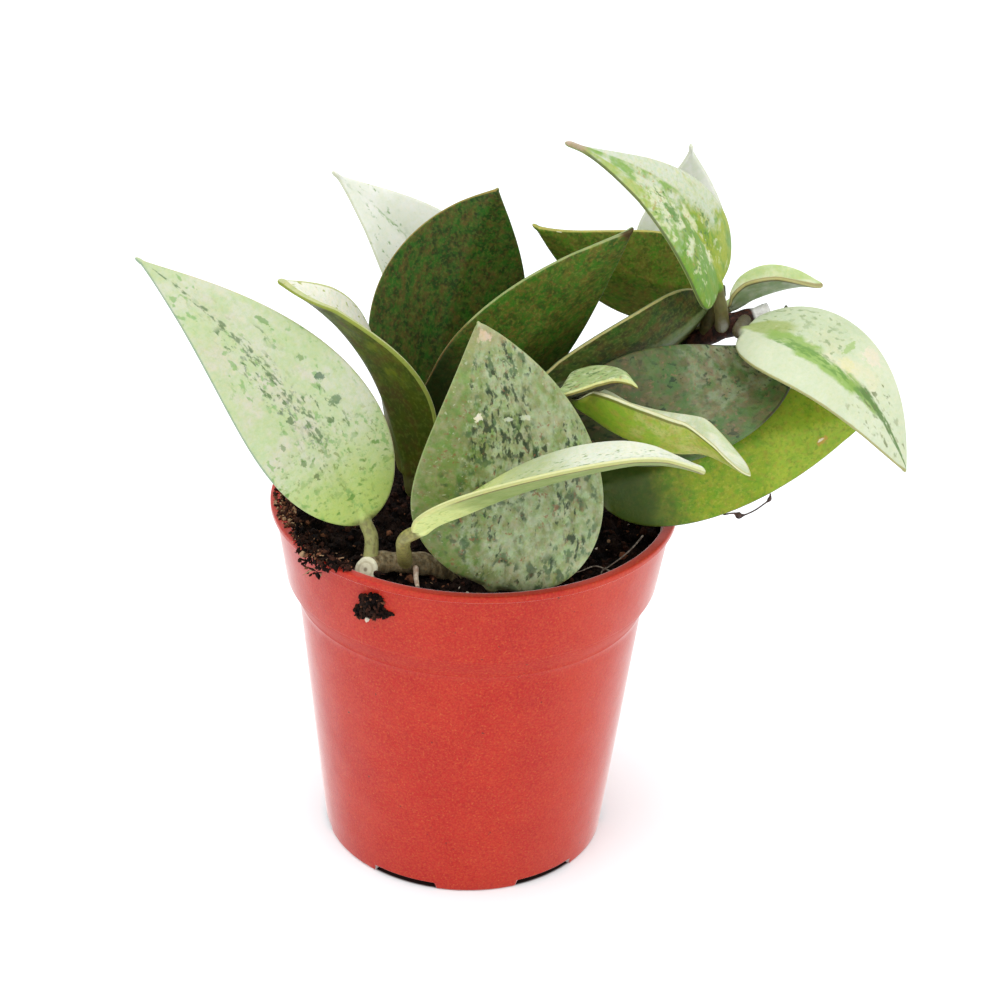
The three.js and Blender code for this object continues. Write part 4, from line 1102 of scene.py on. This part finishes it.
def make_leaf(number, node, leaf):
    """A leaf of one closed skin, from inside its stem to its point."""
    rings, place, share, face = blade_rings(leaf, number)
    stalk_rings, stalk_place, stalk_share, stalk_face = petiole_rings(leaf, number)
    points, faces = close_skin(np.concatenate([stalk_rings, rings]))
    kept = {
        "place": np.concatenate([stalk_place, place]).reshape(-1, 3),
        "share": np.concatenate([stalk_share, share]).reshape(-1, 3),
        "face": np.concatenate([stalk_face, face]).reshape(-1),
    }
    for label, values in kept.items():
        kept[label] = np.concatenate([values, values[:1], values[-1:]])
    material = leaf_material("skin_of_" + node, LOOKS[node])
    piece = build_mesh("blade" + node[4:], points, faces, material, kept)
    dress(piece, "leaf", node)


# ------------------------------------------------------------------ stems and roots
def tube(route, radius_at, sides, rows, cap_rows=1):
    """Circles carried along a smooth curve through the route. radius_at gives the radius from the mm run.
    cap_rows circles of shrinking size close each end flat, up to its pole."""
    path, run = curve_through(route, rows)
    ups, sideways = carried_frames(path, np.array([0.3, 0.2, 1.0]))
    body, _ = circles(path, radius_at(run), ups, sideways, sides)
    shrink = np.arange(1, cap_rows + 1) / (cap_rows + 1)
    start = path[0] + (body[0] - path[0])[None] * shrink[:, None, None]
    end = path[-1] + (body[-1] - path[-1])[None] * shrink[::-1][:, None, None]
    rings = np.concatenate([start, body, end])
    out = np.concatenate([shrink, np.ones(rows), shrink[::-1]])
    along = np.concatenate([np.zeros(cap_rows), run, np.full(cap_rows, run[-1])])
    return rings, out, along


def bevel_start(rings, axis, facing):
    """Tilts the start of a stem's rings so that its flat end looks to facing: each point moves along the
    axis on to the tilted plane, less with the square of the distance over the first 3 mm."""
    centre = rings[0].mean(0)
    axis, facing = unit(np.array(axis, float)), unit(np.array(facing, float))
    run = np.maximum(0, (rings.mean(1) - centre) @ axis)
    shift = ((centre - rings) @ facing + run[:, None] * np.dot(axis, facing)) / np.dot(axis, facing)
    return rings + axis * (shift * np.clip(1 - run / 3, 0, 1)[:, None] ** 2)[..., None]


def stem_attributes(stem, rings, out, along):
    """What the bark needs at each point: how far it is from the nearer end, counted in lengths of the
    peeled wood, and the share of the radius. Both are 0 at the poles."""
    near_end = np.minimum(along, along.max() - along) / stem.get("peeled", 0.5)
    values = {"near_end": near_end, "out": out}
    return {label: np.append(np.repeat(row, rings.shape[1]), [0, 0]) for label, row in values.items()}


def bark_material(name, dark, light, wood):
    """Thin bark in two tones with specks, and a pale cut end that has a ring and a small pith."""
    material, tree, shader = new_material(name, Roughness=0.7, Specular_IOR_Level=0.2)
    place = object_place(tree)
    near_end = attribute(tree, "near_end", "Fac")
    out = attribute(tree, "out", "Fac")
    stretched = vector_calc(tree, "MULTIPLY", place, (1.2, 1.2, 0.4))
    streaks = noise(tree, stretched, scale=1.2, detail=4)
    colour = mix_colours(tree, fade(tree, streaks, 0.38, 0.64), paint(*dark), paint(*light))
    grain = use_group(tree, MOTTLE, Place=place, Scale=2.2, Amount=0.9)
    colour = tint(tree, grain["Dark"], colour, (0.5, 0.5, 0.5))
    colour = tint(tree, grain["Warm"], colour, (1.25, 1.05, 0.85))
    ring = calc(tree, "MULTIPLY", fade(tree, out, 0.52, 0.6), fade(tree, out, 0.78, 0.7))
    face = lay(tree, ring, 0.35, paint(*wood), paint(176, 164, 120))
    face = lay(tree, fade(tree, out, 0.24, 0.1), 0.7, face, paint(110, 92, 62))
    peeled = lay(tree, grain["Dark"], 0.35, paint(*wood), paint(170, 160, 130))
    colour = mix_colours(tree, fade(tree, near_end, 1.1, 0.85), colour, peeled)
    on_end = calc(tree, "MULTIPLY", fade(tree, near_end, 0.1, 0.02), fade(tree, out, 0.999, 0.96))
    colour = mix_colours(tree, on_end, colour, face)
    tree.links.new(colour, shader.inputs["Base Color"])
    relief = use_group(tree, RELIEF, Place=place, Grain=2.0, Dents=0.6)
    add_bump(tree, shader, relief["Height"], 0.7, 0.25)
    return material


BARKS = {  # dark tone, light tone and bare wood
    "stem_front": ((104, 92, 64), (148, 136, 104), (240, 238, 206)),
    "stem_centre": ((48, 38, 26), (84, 72, 44), (210, 200, 160)),
    "stem_right": ((34, 20, 16), (84, 46, 34), (255, 255, 252)),
    "stem_middle": ((48, 38, 26), (84, 72, 44), (210, 200, 160)),
}


def make_stems():
    """The four cuttings: round stems whose thickness wanders a little along them."""
    for number, (node, stem) in enumerate(STEMS.items()):
        def radius_at(run):
            swell = 0.06 * np.sin(run * 0.9 + number) + 0.05 * np.sin(run * 2.3 + 2 * number)
            return stem["radius"] * (1 + swell * smooth(0, 1.5, run) * smooth(0, 1.5, run[-1] - run))
        rings, out, along = tube(stem["route"], radius_at, 32, 90, cap_rows=8)
        if "facing" in stem:
            rings = bevel_start(rings, np.subtract(*stem["route"][1::-1]), stem["facing"])
        points, faces = close_skin(rings)
        bark = bark_material("bark_of_cutting" + node[4:], *BARKS[node])
        kept = stem_attributes(stem, rings, out, along)
        piece = build_mesh("cutting" + node[4:], points, faces, bark, kept)
        dress(piece, "stem", node)


def root_material(name, pale, dark):
    """Dry skin of a young root."""
    material, tree, shader = new_material(name, Roughness=0.6, Specular_IOR_Level=0.3)
    specks = noise(tree, object_place(tree), scale=1.6, detail=3)
    colour = mix_colours(tree, fade(tree, specks, 0.35, 0.65), paint(*pale), paint(*dark))
    tree.links.new(colour, shader.inputs["Base Color"])
    return material


ROOT_HAIRS = {  # radius and route of each hair-thin root that lies on the soil at the right
    "root_hair_right": (
        0.13, [(24.6, -8, 54.6), (23, -11, 54.2), (21.4, -14, 54.3), (18.6, -18.2, 54.4)]),
    "root_hair_front": (
        0.1, [(19.6, -18.6, 54.5), (17.4, -18.0, 54.9), (15.4, -19, 54.6), (13.2, -20.6, 54.8)]),
    "root_hair_edge": (0.1, [(18.9, -17.2, 54.2), (18.3, -19, 54.6), (18.2, -20.8, 54.6)]),
}
DRIED_ROOT = [  # a dead root's thread under the low right leaf
    (35.9, -8.5, 58.8), (37.4, -8.3, 59.0), (38.4, -8.2, 58.6), (40.1, -8.3, 59.4), (41.6, -7.9, 60.4),
    (42.5, -7.3, 61.0), (42.6, -6.9, 61.7),
]


def knotty(run):
    """Radius of the dried root: a thread with a knot 2.4 mm along it and a smaller one at 7.6 mm."""
    return 0.12 + 0.42 * np.exp(-((run - 2.4) / 0.5) ** 2) + 0.2 * np.exp(-((run - 7.6) / 0.4) ** 2)


def make_root(name, route, radius_at, sides, rows, skin):
    """One root along its route."""
    rings, _, _ = tube(route, radius_at, sides, rows)
    dress(build_mesh(name, *close_skin(rings), skin), "stem")


def make_roots():
    """The aerial root on the front cutting, hair-thin roots on the soil and a dried one under a leaf."""
    young = root_material("young_root", (232, 216, 196), (196, 160, 136))
    thinning = lambda run: AERIAL_ROOT_RADIUS * (1.2 - 0.5 * (run / run[-1]))
    make_root("aerial_root", AERIAL_ROOT, thinning, 12, 24, young)
    hair = root_material("root_hair", (168, 156, 140), (104, 92, 78))
    for name, (radius, route) in ROOT_HAIRS.items():
        make_root(name, route, lambda run: radius * (1.1 - 0.5 * (run / run[-1])), 8, 24, hair)
    dead = root_material("dried_root", (96, 70, 60), (52, 38, 34))
    make_root("dried_root", DRIED_ROOT, knotty, 10, 60, dead)


# ------------------------------------------------------------------ soil
def soil_height(x, y):
    """A low dome that rises to the left, with crumbs and hollows made of crossed waves."""
    out = np.hypot(x, y) / RIM_RADIUS
    lumps = (
        np.sin(0.71 * x + 1.3) * np.cos(0.63 * y - 0.4)
        + 0.6 * np.sin(1.37 * x - 0.9 * y + 2.1)
        + 0.4 * np.cos(1.9 * y + 0.8 * x))
    return 52.8 - 0.065 * x - 0.5 * out * out + 0.45 * lumps


CRUMB_LAYERS = [(0.7, 1.9, 3), (0.45, 0.9, 4), (0.25, 0.45, 5)]  # height and cell in mm, and seed


def crumbly_height(x, y):
    """The soil's height with smaller crumbs: lattice noise of three sizes, heaped at the left wall."""
    fine = sum(height * value_noise(x, y, cell, seed) for height, cell, seed in CRUMB_LAYERS)
    out = np.hypot(x, y)
    left = smooth(12, 26, -x) * smooth(18, 27, out)
    return soil_height(x, y) + fine + 1.1 * left


def inner_radius(z):
    """Radius of the pot's hollow at height z: straight up the body, over the shoulder and the collar."""
    heights = [HOLLOW_FOOT, HOLLOW_SHOULDER_FOOT, HOLLOW_SHOULDER_TOP, POT_HEIGHT - RIM_HEIGHT]
    radii = [HOLLOW_FOOT_OUT, BODY_TOP_RADIUS, COLLAR_FOOT_RADIUS, COLLAR_TOP_RADIUS]
    return np.interp(z, heights, radii) - WALL


GRAIN_TONES = [  # from which value of its grain a crumb turns to which display colour, and by which it has
    (0.62, 0.82, (70, 42, 32)),
    (0.9, 0.93, (140, 92, 66)),
    (0.955, 0.965, (196, 160, 124)),
    (0.988, 0.992, (238, 226, 206)),
]


def peat_material():
    """Nearly black peat with reddish, tan and whitish grains."""
    material, tree, shader = new_material("dark_peat", Roughness=0.95, Specular_IOR_Level=0.08)
    place = object_place(tree)
    grain = attribute(tree, "grain", "Fac")
    mottle = noise(tree, place, scale=0.5, detail=5, roughness=0.65)
    fine = noise(tree, place, scale=3.2, detail=3, roughness=0.7)
    colour = mix_colours(tree, fade(tree, mottle, 0.42, 0.62), paint(13, 9, 9), paint(46, 32, 26))
    colour = mix_colours(tree, fade(tree, fine, 0.6, 0.72), colour, paint(84, 58, 46))
    for low, high, tone in GRAIN_TONES:
        colour = mix_colours(tree, fade(tree, grain, low, high), colour, paint(*tone))
    tree.links.new(colour, shader.inputs["Base Color"])
    relief = use_group(tree, RELIEF, Place=place, Grain=3.0, Dents=1.2)
    add_bump(tree, shader, relief["Height"], 0.9, 0.4)
    return material


def make_soil_bed(peat):
    """The soil as one closed skin from the middle of its top, out to the wall, down it and in below."""
    columns = 300
    angle = 2 * np.pi * np.arange(columns) / columns
    reach = 28.4
    top_edge = crumbly_height(reach * np.cos(angle), reach * np.sin(angle))
    share = np.linspace(0.01, 1, 110)[:, None]
    radius = share * (inner_radius(np.minimum(top_edge, POT_HEIGHT - 0.6)) - 0.08)[None]
    x, y = radius * np.cos(angle), radius * np.sin(angle)
    top = np.stack([x, y, np.minimum(crumbly_height(x, y), POT_HEIGHT - 0.4)], -1)
    side = [(float(inner_radius(np.array(z))) - 0.15, z) for z in (50.0, 44.4, 41.0, 25.0, 5.2)]
    below = [(17.5, 3.4), (8, 3.4), (5.8, 1.2)]  # over the floor and down into its dished middle
    lower = np.array([[(r * math.cos(a), r * math.sin(a), z) for a in angle] for r, z in side + below])
    rings = np.concatenate([top, lower])[:, ::-1]
    points, faces = close_skin(rings)
    kept = {"grain": np.zeros(len(points))}
    piece = build_mesh("soil_bed", points, faces, peat, kept)
    dress(piece, "peat", "soil")


def icosahedron():
    """The twelve corners and twenty faces of an icosahedron of radius 1, faces turned outwards."""
    g = (1 + math.sqrt(5)) / 2
    corners = []
    for a in (-1, 1):
        for b in (-g, g):
            corners += [(0, a, b), (a, b, 0), (b, 0, a)]
    corners = unit(np.array(corners, float))
    near = np.linalg.norm(corners[:, None] - corners[None], axis=-1) < 1.1
    faces = []
    for a in range(12):
        for b in range(a + 1, 12):
            for c in range(b + 1, 12):
                if near[a, b] and near[b, c] and near[a, c]:
                    square = np.cross(corners[b] - corners[a], corners[c] - corners[a])
                    faces.append((a, b, c) if np.dot(square, corners[a]) > 0 else (a, c, b))
    return corners, np.array(faces)


def random_turns(random, count):
    """Rotation matrices from random quaternions."""
    w, x, y, z = unit(random.normal(size=(count, 4))).T
    rows = [
        [1 - 2 * (y * y + z * z), 2 * (x * y - w * z), 2 * (x * z + w * y)],
        [2 * (x * y + w * z), 1 - 2 * (x * x + z * z), 2 * (y * z - w * x)],
        [2 * (x * z - w * y), 2 * (y * z + w * x), 1 - 2 * (x * x + y * y)],
    ]
    return np.moveaxis(np.array(rows), -1, 0)


def make_crumbs(name, places, sizes, grains, material, seed, *nodes, slimness=0.6, splinters=0.0):
    """Crumbs of soil: an icosahedron for each place, its corners shaken, stretched, turned and sized. A
    share of them is drawn out to splinters."""
    random = np.random.default_rng(seed)
    corners, triangles = icosahedron()
    count = len(places)
    shaken = corners[None] * random.uniform(0.62, 1.14, (count, 12, 1))
    drawn = random.uniform(0, 1, (count, 1, 1)) < splinters
    stretch = random.uniform(slimness, 1.0, (count, 1, 3)) * np.where(drawn, (2.2, 0.42, 0.3), (1, 1, 1))
    shaken = shaken * stretch * sizes[:, None, None]
    turned = np.einsum("nij,nkj->nki", random_turns(random, count), shaken)
    points = (turned + places[:, None]).reshape(-1, 3)
    faces = (triangles[None] + 12 * np.arange(count)[:, None, None]).reshape(-1, 3)
    kept = {"grain": np.repeat(grains, 12)}
    piece = build_mesh(name, points, [faces], material, kept, smooth_faces=False)
    dress(piece, "peat", *nodes)


def on_circle(radius, angle, height):
    """Points from radii, directions and heights."""
    return np.stack([radius * np.cos(angle), radius * np.sin(angle), height], -1)


def scatter_soil(peat):
    """Loose crumbs all over the surface."""
    random = np.random.default_rng(21)
    count = 4600
    radius = 27.9 * np.sqrt(random.uniform(0, 1, count))
    angle = random.uniform(0, 2 * np.pi, count)
    x, y = radius * np.cos(angle), radius * np.sin(angle)
    grains = random.uniform(0, 1, count)
    sizes = 0.2 + 0.85 * random.uniform(0, 1, count) ** 3
    sizes = np.where(grains > 0.95, np.minimum(sizes, 0.4), sizes)
    places = np.stack([x, y, crumbly_height(x, y) + 0.25 * sizes], -1)
    make_crumbs("soil_crumbs", places, sizes, grains, peat, 22, slimness=0.45, splinters=0.12)


def spill_soil(peat):
    """The ragged spill over the rim at the left, clear of the front cutting's end, and the brown and tan
    grains on the rim beyond it."""
    random = np.random.default_rng(27)
    count = 900
    side = random.normal(0, 1, count)
    late = np.arange(count) < 190  # these lie on the rim, close to the cutting's end
    angle = np.radians(np.where(late, random.uniform(-137, -129.5, count), -137 + 7.5 * side))
    furthest = np.where(late, 0.45, np.exp(-0.4 * side**2))
    over = random.uniform(0, 1, count) ** 1.3 * furthest  # 0 inside the rim, 1 hanging down outside it
    radius = 27.4 + 3.4 * np.minimum(1, 1.6 * over) + random.normal(0, 0.15, count)
    height = 56.5 - 2.8 * np.maximum(0, over - 0.6) / 0.4 + random.normal(0, 0.25, count)
    height = np.where(radius < 28.4, height - 0.6, height)
    sizes = 0.16 + 0.72 * random.uniform(0, 1, count) ** 2.4
    places = on_circle(radius, angle, height)
    clear = np.linalg.norm(places - np.array(STEMS["stem_front"]["route"][0]), axis=1) > 2.6
    grains = random.uniform(0.3, 0.985, count)
    make_crumbs(
        "soil_spill", places[clear], sizes[clear], grains[clear], peat, 23, slimness=0.3, splinters=0.3)

    count = 420
    angle = np.radians(random.normal(-167, 9, count))
    radius = 29.5 - 2.8 * random.uniform(0, 1, count) ** 0.8
    sizes = random.uniform(0.15, 0.48, count)
    places = on_circle(radius, angle, 55.9 + 0.4 * sizes)
    make_crumbs("soil_on_rim", places, sizes, random.uniform(0.8, 0.985, count), peat, 24, slimness=0.4)


def make_clump(peat):
    """The clump of soil stuck to the collar, of many small crumbs: narrow at its top, wide at its foot and
    thickest in the middle."""
    random = np.random.default_rng(31)
    slope = (COLLAR_TOP_RADIUS - COLLAR_FOOT_RADIUS) / (POT_HEIGHT - RIM_HEIGHT - COLLAR_FOOT)
    count = 460
    up = random.uniform(0, 1, count)
    across = random.uniform(-1, 1, count)
    ragged = 1 + 0.16 * np.sin(9 * up + 1.2 * np.sign(across))
    angle = np.radians(CLUMP_MIDDLE + blend(*CLUMP_HALF_WIDTHS, up**0.7) * ragged * across)
    height = CLUMP_FOOT + CLUMP_HEIGHT * up + CLUMP_TILT * (np.degrees(angle) - CLUMP_MIDDLE)
    wall = COLLAR_FOOT_RADIUS + (height - COLLAR_FOOT) * slope
    radius = wall + 0.05 + 1.3 * (1 - across**2) * random.uniform(0, 1, count)
    sizes = random.uniform(0.25, 0.62, count)
    grains = random.uniform(0, 0.94, count)
    pale = np.argsort(up + np.abs(across))[:2]
    grains[pale] = 1.0
    radius[pale] = wall[pale] + 1.2
    make_crumbs(
        "clump_crumbs", on_circle(radius, angle, height), sizes, grains, peat, 32, "soil_clump",
        slimness=0.45, splinters=0.15)


# ------------------------------------------------------------------ pot
def rounded(outline, steps=5):
    """An open outline of corners, each of them a radius, a height and a rounding. Every inner corner is
    replaced by a short parabola that starts and ends at most its rounding away from it."""
    corners = np.array(outline, float)[:, :2]
    made = [corners[:1]]
    share = np.linspace(0, 1, steps + 1)[:, None]
    roundings = [corner[2] for corner in outline[1:-1]]
    for before, corner, after, rounding in zip(corners, corners[1:], corners[2:], roundings):
        back, ahead = before - corner, after - corner
        reach = min(rounding, 0.45 * np.linalg.norm(back), 0.45 * np.linalg.norm(ahead))
        start, end = corner + unit(back) * reach, corner + unit(ahead) * reach
        made.append((1 - share) ** 2 * start + 2 * share * (1 - share) * corner + share**2 * end)
    return np.vstack(made + [corners[-1:]])


def divided(outline, longest):
    """The same outline with no step longer than longest."""
    pieces = []
    for start, end in zip(outline, outline[1:]):
        steps = max(1, math.ceil(np.linalg.norm(end - start) / longest))
        pieces.append(blend(start, end, np.arange(steps)[:, None] / steps))
    return np.vstack(pieces + [outline[-1:]])


POT_COLUMNS = 360
NEAR_AXIS = 0.02  # radius of the small holes that weld fills


def pot_angles():
    """Directions of the pot's columns, the first at a foot gap's middle."""
    return np.radians(FOOT_GAP_START) + 2 * np.pi * np.arange(POT_COLUMNS) / POT_COLUMNS


def turned_strip(outline):
    """An outline of (radius, height) turned round the axis. In the foot gaps nothing of it lies
    below the gap's height, so that each gap is a notch through the foot ring."""
    angle = pot_angles()
    span = 2 * np.pi / FOOT_GAPS
    turn = np.arange(POT_COLUMNS) * 2 * np.pi / POT_COLUMNS
    from_middle = np.degrees(np.abs((turn + span / 2) % span - span / 2))
    gap = 1 - smooth(FOOT_GAP_HALF - 1, FOOT_GAP_HALF, from_middle)
    radius, height = outline[:, :1], outline[:, 1:]
    in_ring = radius > PAD_SLOPE_RADIUS
    lifted = np.where(in_ring, np.maximum(height, FOOT_GAP_HEIGHT * gap[None]), height)
    return np.stack([radius * np.cos(angle), radius * np.sin(angle), lifted], -1)


def floor_sector(number, inner, outer, z):
    """A sixth of the pot's floor with its drain hole: the sector's outline drawn in to a circle."""
    middle = math.radians(FOOT_GAP_START + 60 * number + 30)
    half = POT_COLUMNS // FOOT_GAPS
    arc = middle + np.radians(np.linspace(-30, 30, half + 1))
    edge = np.linspace(outer, inner, 9)[1:-1]
    outline = np.concatenate([
        outer * np.stack([np.cos(arc), np.sin(arc)], -1),
        edge[:, None] * np.array([[math.cos(arc[-1]), math.sin(arc[-1])]]),
        inner * np.stack([np.cos(arc[::-1]), np.sin(arc[::-1])], -1),
        edge[::-1, None] * np.array([[math.cos(arc[0]), math.sin(arc[0])]]),
    ])
    centre = HOLE_RING * np.array([math.cos(middle), math.sin(middle)])
    hole = centre + HOLE_RADIUS * unit(outline - centre)
    share = np.linspace(0, 1, 6)[:, None, None]
    flat = blend(outline[None], hole[None], share)
    return np.concatenate([flat, np.full((*flat.shape[:2], 1), z)], -1)


def soften_shoulder(tree, shader, height):
    """Shades the slope under the collar as if it were part filled, so that it hardly shows."""
    filled = tree.nodes.new("ShaderNodeBump")
    filled.inputs["Strength"].default_value = 1.0
    filled.inputs["Distance"].default_value = 1.05 * MM
    feed(tree, filled.inputs["Height"], fade(tree, height, COLLAR_FOOT, COLLAR_FOOT - SHOULDER, False))
    fine = shader.inputs["Normal"].links[0].from_node
    tree.links.new(filled.outputs[0], fine.inputs["Normal"])


def pot_material():
    """Coral-red moulded plastic, speckled with darker and orange grains, with a soft sheen."""
    material, tree, shader = new_material(
        "coral_plastic", Specular_IOR_Level=0.24, Sheen_Weight=1.0, Sheen_Roughness=0.29)
    place = object_place(tree)
    clouds = noise(tree, place, scale=0.12, detail=3)
    colour = mix_colours(tree, fade(tree, clouds, 0.35, 0.65), paint(199, 27, 18), paint(206, 40, 24))
    parts = tree.nodes.new("ShaderNodeSeparateXYZ")
    tree.links.new(place, parts.inputs[0])
    across, _, height = parts.outputs
    # Partly painted light: the right side is painted lighter for the brighter light on that side, and warmer
    # orange for the plastic's own tone there.
    colour = lay(tree, fade(tree, across, 9, 21), 0.55, colour, paint(228, 62, 34))
    grain = use_group(tree, MOTTLE, Place=place, Scale=3.0, Amount=1.0)
    colour = tint(tree, grain["Dark"], colour, (0.8, 0.6, 0.58))
    colour = lay(tree, grain["Warm"], 0.34, colour, paint(222, 98, 44))
    sand = noise(tree, place, scale=3.4, detail=2)
    colour = lay(tree, fade(tree, sand, 0.6, 0.72), 0.38, colour, paint(228, 122, 60))
    specks = noise(tree, place, scale=1.1, detail=2)
    colour = lay(tree, fade(tree, specks, 0.74, 0.77), 0.8, colour, paint(90, 44, 36))
    tree.links.new(colour, shader.inputs["Base Color"])
    relief = use_group(tree, RELIEF, Place=place, Grain=3.0, Dents=0.3)
    add_bump(tree, shader, relief["Height"], 0.3, 0.05)
    soften_shoulder(tree, shader, height)
    roughness = calc(tree, "MULTIPLY_ADD", relief["Wander"], 0.3, 0.5)
    tree.links.new(roughness, shader.inputs["Roughness"])
    return material


def make_pot():
    """The pot: its outline turned round the axis, joined to a floor of six sectors with holes."""
    inner_top = COLLAR_TOP_RADIUS - WALL
    above_gap = FOOT_GAP_HEIGHT + 0.14
    gap_radius = FOOT_RADIUS + above_gap * (BODY_TOP_RADIUS - FOOT_RADIUS) / (COLLAR_FOOT - SHOULDER)
    pad_under = [(NEAR_AXIS, 0, 0), (PAD_RADIUS, 0, 0.5), (PAD_SLOPE_RADIUS, FLOOR_UNDER, 0)]
    shell = [
        (FLOOR_EDGE_UNDER, FLOOR_UNDER, 0),
        (FOOT_RADIUS - 1.9, 0, 0.2),
        (FOOT_RADIUS, 0, 0.45),
        (gap_radius, above_gap, 0.12),
        (BODY_TOP_RADIUS, COLLAR_FOOT - SHOULDER, 1.2),
        (COLLAR_FOOT_RADIUS, COLLAR_FOOT, 0.3),
        (COLLAR_TOP_RADIUS, POT_HEIGHT - RIM_HEIGHT, 0.15),
        (RIM_RADIUS, POT_HEIGHT - RIM_HEIGHT + 0.3, 0.12),
        (RIM_RADIUS, POT_HEIGHT, 0.35),
        (inner_top, POT_HEIGHT, 0.4),
        (COLLAR_FOOT_RADIUS - WALL, HOLLOW_SHOULDER_TOP, 0.8),
        (BODY_TOP_RADIUS - WALL, HOLLOW_SHOULDER_FOOT, 0.8),
        (HOLLOW_FOOT_OUT - WALL, HOLLOW_FOOT, 0.5),
        (FLOOR_EDGE_TOP, FLOOR_TOP, 0),
    ]
    pad_top = [(PAD_SLOPE_RADIUS, FLOOR_TOP, 0), (PAD_RADIUS, 1, 0.5), (NEAR_AXIS, 1, 0)]
    points, faces = [], []
    total = 0

    def put(rings, turned=False):
        nonlocal total
        part = rings[:, ::-1] if turned else rings
        points.append(part.reshape(-1, 3))
        faces.append(grid_faces(*part.shape[:2], True) + total)
        total += part.shape[0] * part.shape[1]

    for outline, longest in ((pad_under, 2), (shell, 1.5), (pad_top, 2)):
        put(turned_strip(divided(rounded(outline), longest)), turned=True)
    for number in range(FOOT_GAPS):
        below = floor_sector(number, PAD_SLOPE_RADIUS, FLOOR_EDGE_UNDER, FLOOR_UNDER)
        above = floor_sector(number, PAD_SLOPE_RADIUS, FLOOR_EDGE_TOP, FLOOR_TOP)
        put(below, turned=True)
        put(above)
        put(np.stack([below[-1], above[-1]]), turned=True)
    piece = build_mesh("pot_shell", np.vstack(points), faces, pot_material())
    weld(piece)
    dress(piece, "terracotta_plastic", "pot")


def weld(piece):
    """Joins points in one place, fills the two small holes on the axis and turns faces outwards."""
    shape = bmesh.new()
    shape.from_mesh(piece.data)
    bmesh.ops.remove_doubles(shape, verts=shape.verts, dist=0.02 * MM)
    bmesh.ops.holes_fill(shape, edges=shape.edges, sides=POT_COLUMNS)
    bmesh.ops.recalc_face_normals(shape, faces=shape.faces)
    shape.to_mesh(piece.data)
    shape.free()


# ------------------------------------------------------------------ floor, light and camera
FLOOR_REACH = 4000.0  # mm
EYE = (0, -0.3073, 0.2176)  # the camera's place and what it looks at, in metres
TARGET = (0.0038, 0, 0.0554)
LENS = 84.7  # mm, on a sensor 36 mm wide
ROLL = -2.4  # degrees
SURROUNDINGS = 1.3  # strength of the white surroundings
SOFTBOXES = {  # place and width in metres, and power in watts
    "overhead": ((-0.1, -0.15, 1.3), 1.0, 6.5),
    "front_left": ((-0.9, -0.9, 0.7), 0.7, 2.6),
    "front_right": ((0.9, -0.8, 0.7), 0.7, 2.2),
}


def make_floor():
    """A plain, nearly white floor, with a painted dark shadow where the foot ring stands on it."""
    material, tree, shader = new_material("studio_floor", Roughness=0.7, Specular_IOR_Level=0.2)
    place = object_place(tree)
    shade = noise(tree, place, scale=0.004, detail=2)
    colour = mix_colours(tree, shade, (0.88, 0.92, 0.94, 1), (0.89, 0.93, 0.95, 1))
    from_axis = vector_calc(tree, "LENGTH", place)
    # Painted shadow: the floor is painted dark under the foot ring, so the foot gaps look deep in shade.
    painted_foot_shadow = fade(tree, from_axis, FOOT_RADIUS - 0.1, FOOT_RADIUS - 0.6)
    colour = mix_colours(tree, painted_foot_shadow, colour, paint(52, 38, 36))
    tree.links.new(colour, shader.inputs["Base Color"])
    corners = FLOOR_REACH * np.array([(-1, -1, 0), (1, -1, 0), (1, 1, 0), (-1, 1, 0)])
    floor = build_mesh("floor", corners, [np.array([[0, 1, 2, 3]])], material, smooth_faces=False)
    floor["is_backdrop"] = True


def add_softbox(name, place, width, power):
    """A square area light that looks at the plant."""
    lamp = bpy.data.lights.new(name, "AREA")
    lamp.size = width
    lamp.energy = power
    holder = bpy.data.objects.new(name, lamp)
    bpy.context.scene.collection.objects.link(holder)
    holder.location = place
    holder.rotation_euler = (Vector((0, 0, 0.06)) - Vector(place)).to_track_quat("-Z", "Y").to_euler()


def light_studio():
    """Even white surroundings, a broad light overhead and softer ones at the sides."""
    world = bpy.data.worlds.new("studio")
    bpy.context.scene.world = world
    world.use_nodes = True
    background = world.node_tree.nodes["Background"]
    background.inputs["Color"].default_value = (1, 1, 1, 1)
    background.inputs["Strength"].default_value = SURROUNDINGS
    for name, (place, width, power) in SOFTBOXES.items():
        add_softbox(name, place, width, power)
    bpy.context.scene.view_settings.view_transform = "Standard"


def place_camera():
    """The photograph's viewpoint: in front, 31 degrees up, with a small roll."""
    camera = bpy.data.cameras.new("camera")
    camera.sensor_width = 36
    camera.lens = LENS
    camera.clip_start = 0.01
    holder = bpy.data.objects.new("camera", camera)
    bpy.context.scene.collection.objects.link(holder)
    eye = Vector(EYE)
    ahead = (Vector(TARGET) - eye).normalized()
    right = ahead.cross(Vector((0, 0, 1))).normalized()
    above = right.cross(ahead)
    roll = math.radians(ROLL)
    x = right * math.cos(roll) - above * math.sin(roll)
    y = right * math.sin(roll) + above * math.cos(roll)
    holder.matrix_world = Matrix.Translation(eye) @ Matrix((x, y, -ahead)).transposed().to_4x4()
    bpy.context.scene.camera = holder


def write_sizes():
    """Works out the frame's box and the dressed part's box as plain lists."""
    boxes = {"cad": CAD_BOX, "visual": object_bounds()}
    plain = {label: [list(corner) for corner in box] for label, box in boxes.items()}


def main():
    place_camera()
    light_studio()
    make_floor()
    make_pot()
    peat = peat_material()
    make_soil_bed(peat)
    scatter_soil(peat)
    spill_soil(peat)
    make_clump(peat)
    make_stems()
    make_roots()
    for number, (node, leaf) in enumerate(LEAVES.items(), 1):
        make_leaf(number, node, leaf)
    write_sizes()


main()
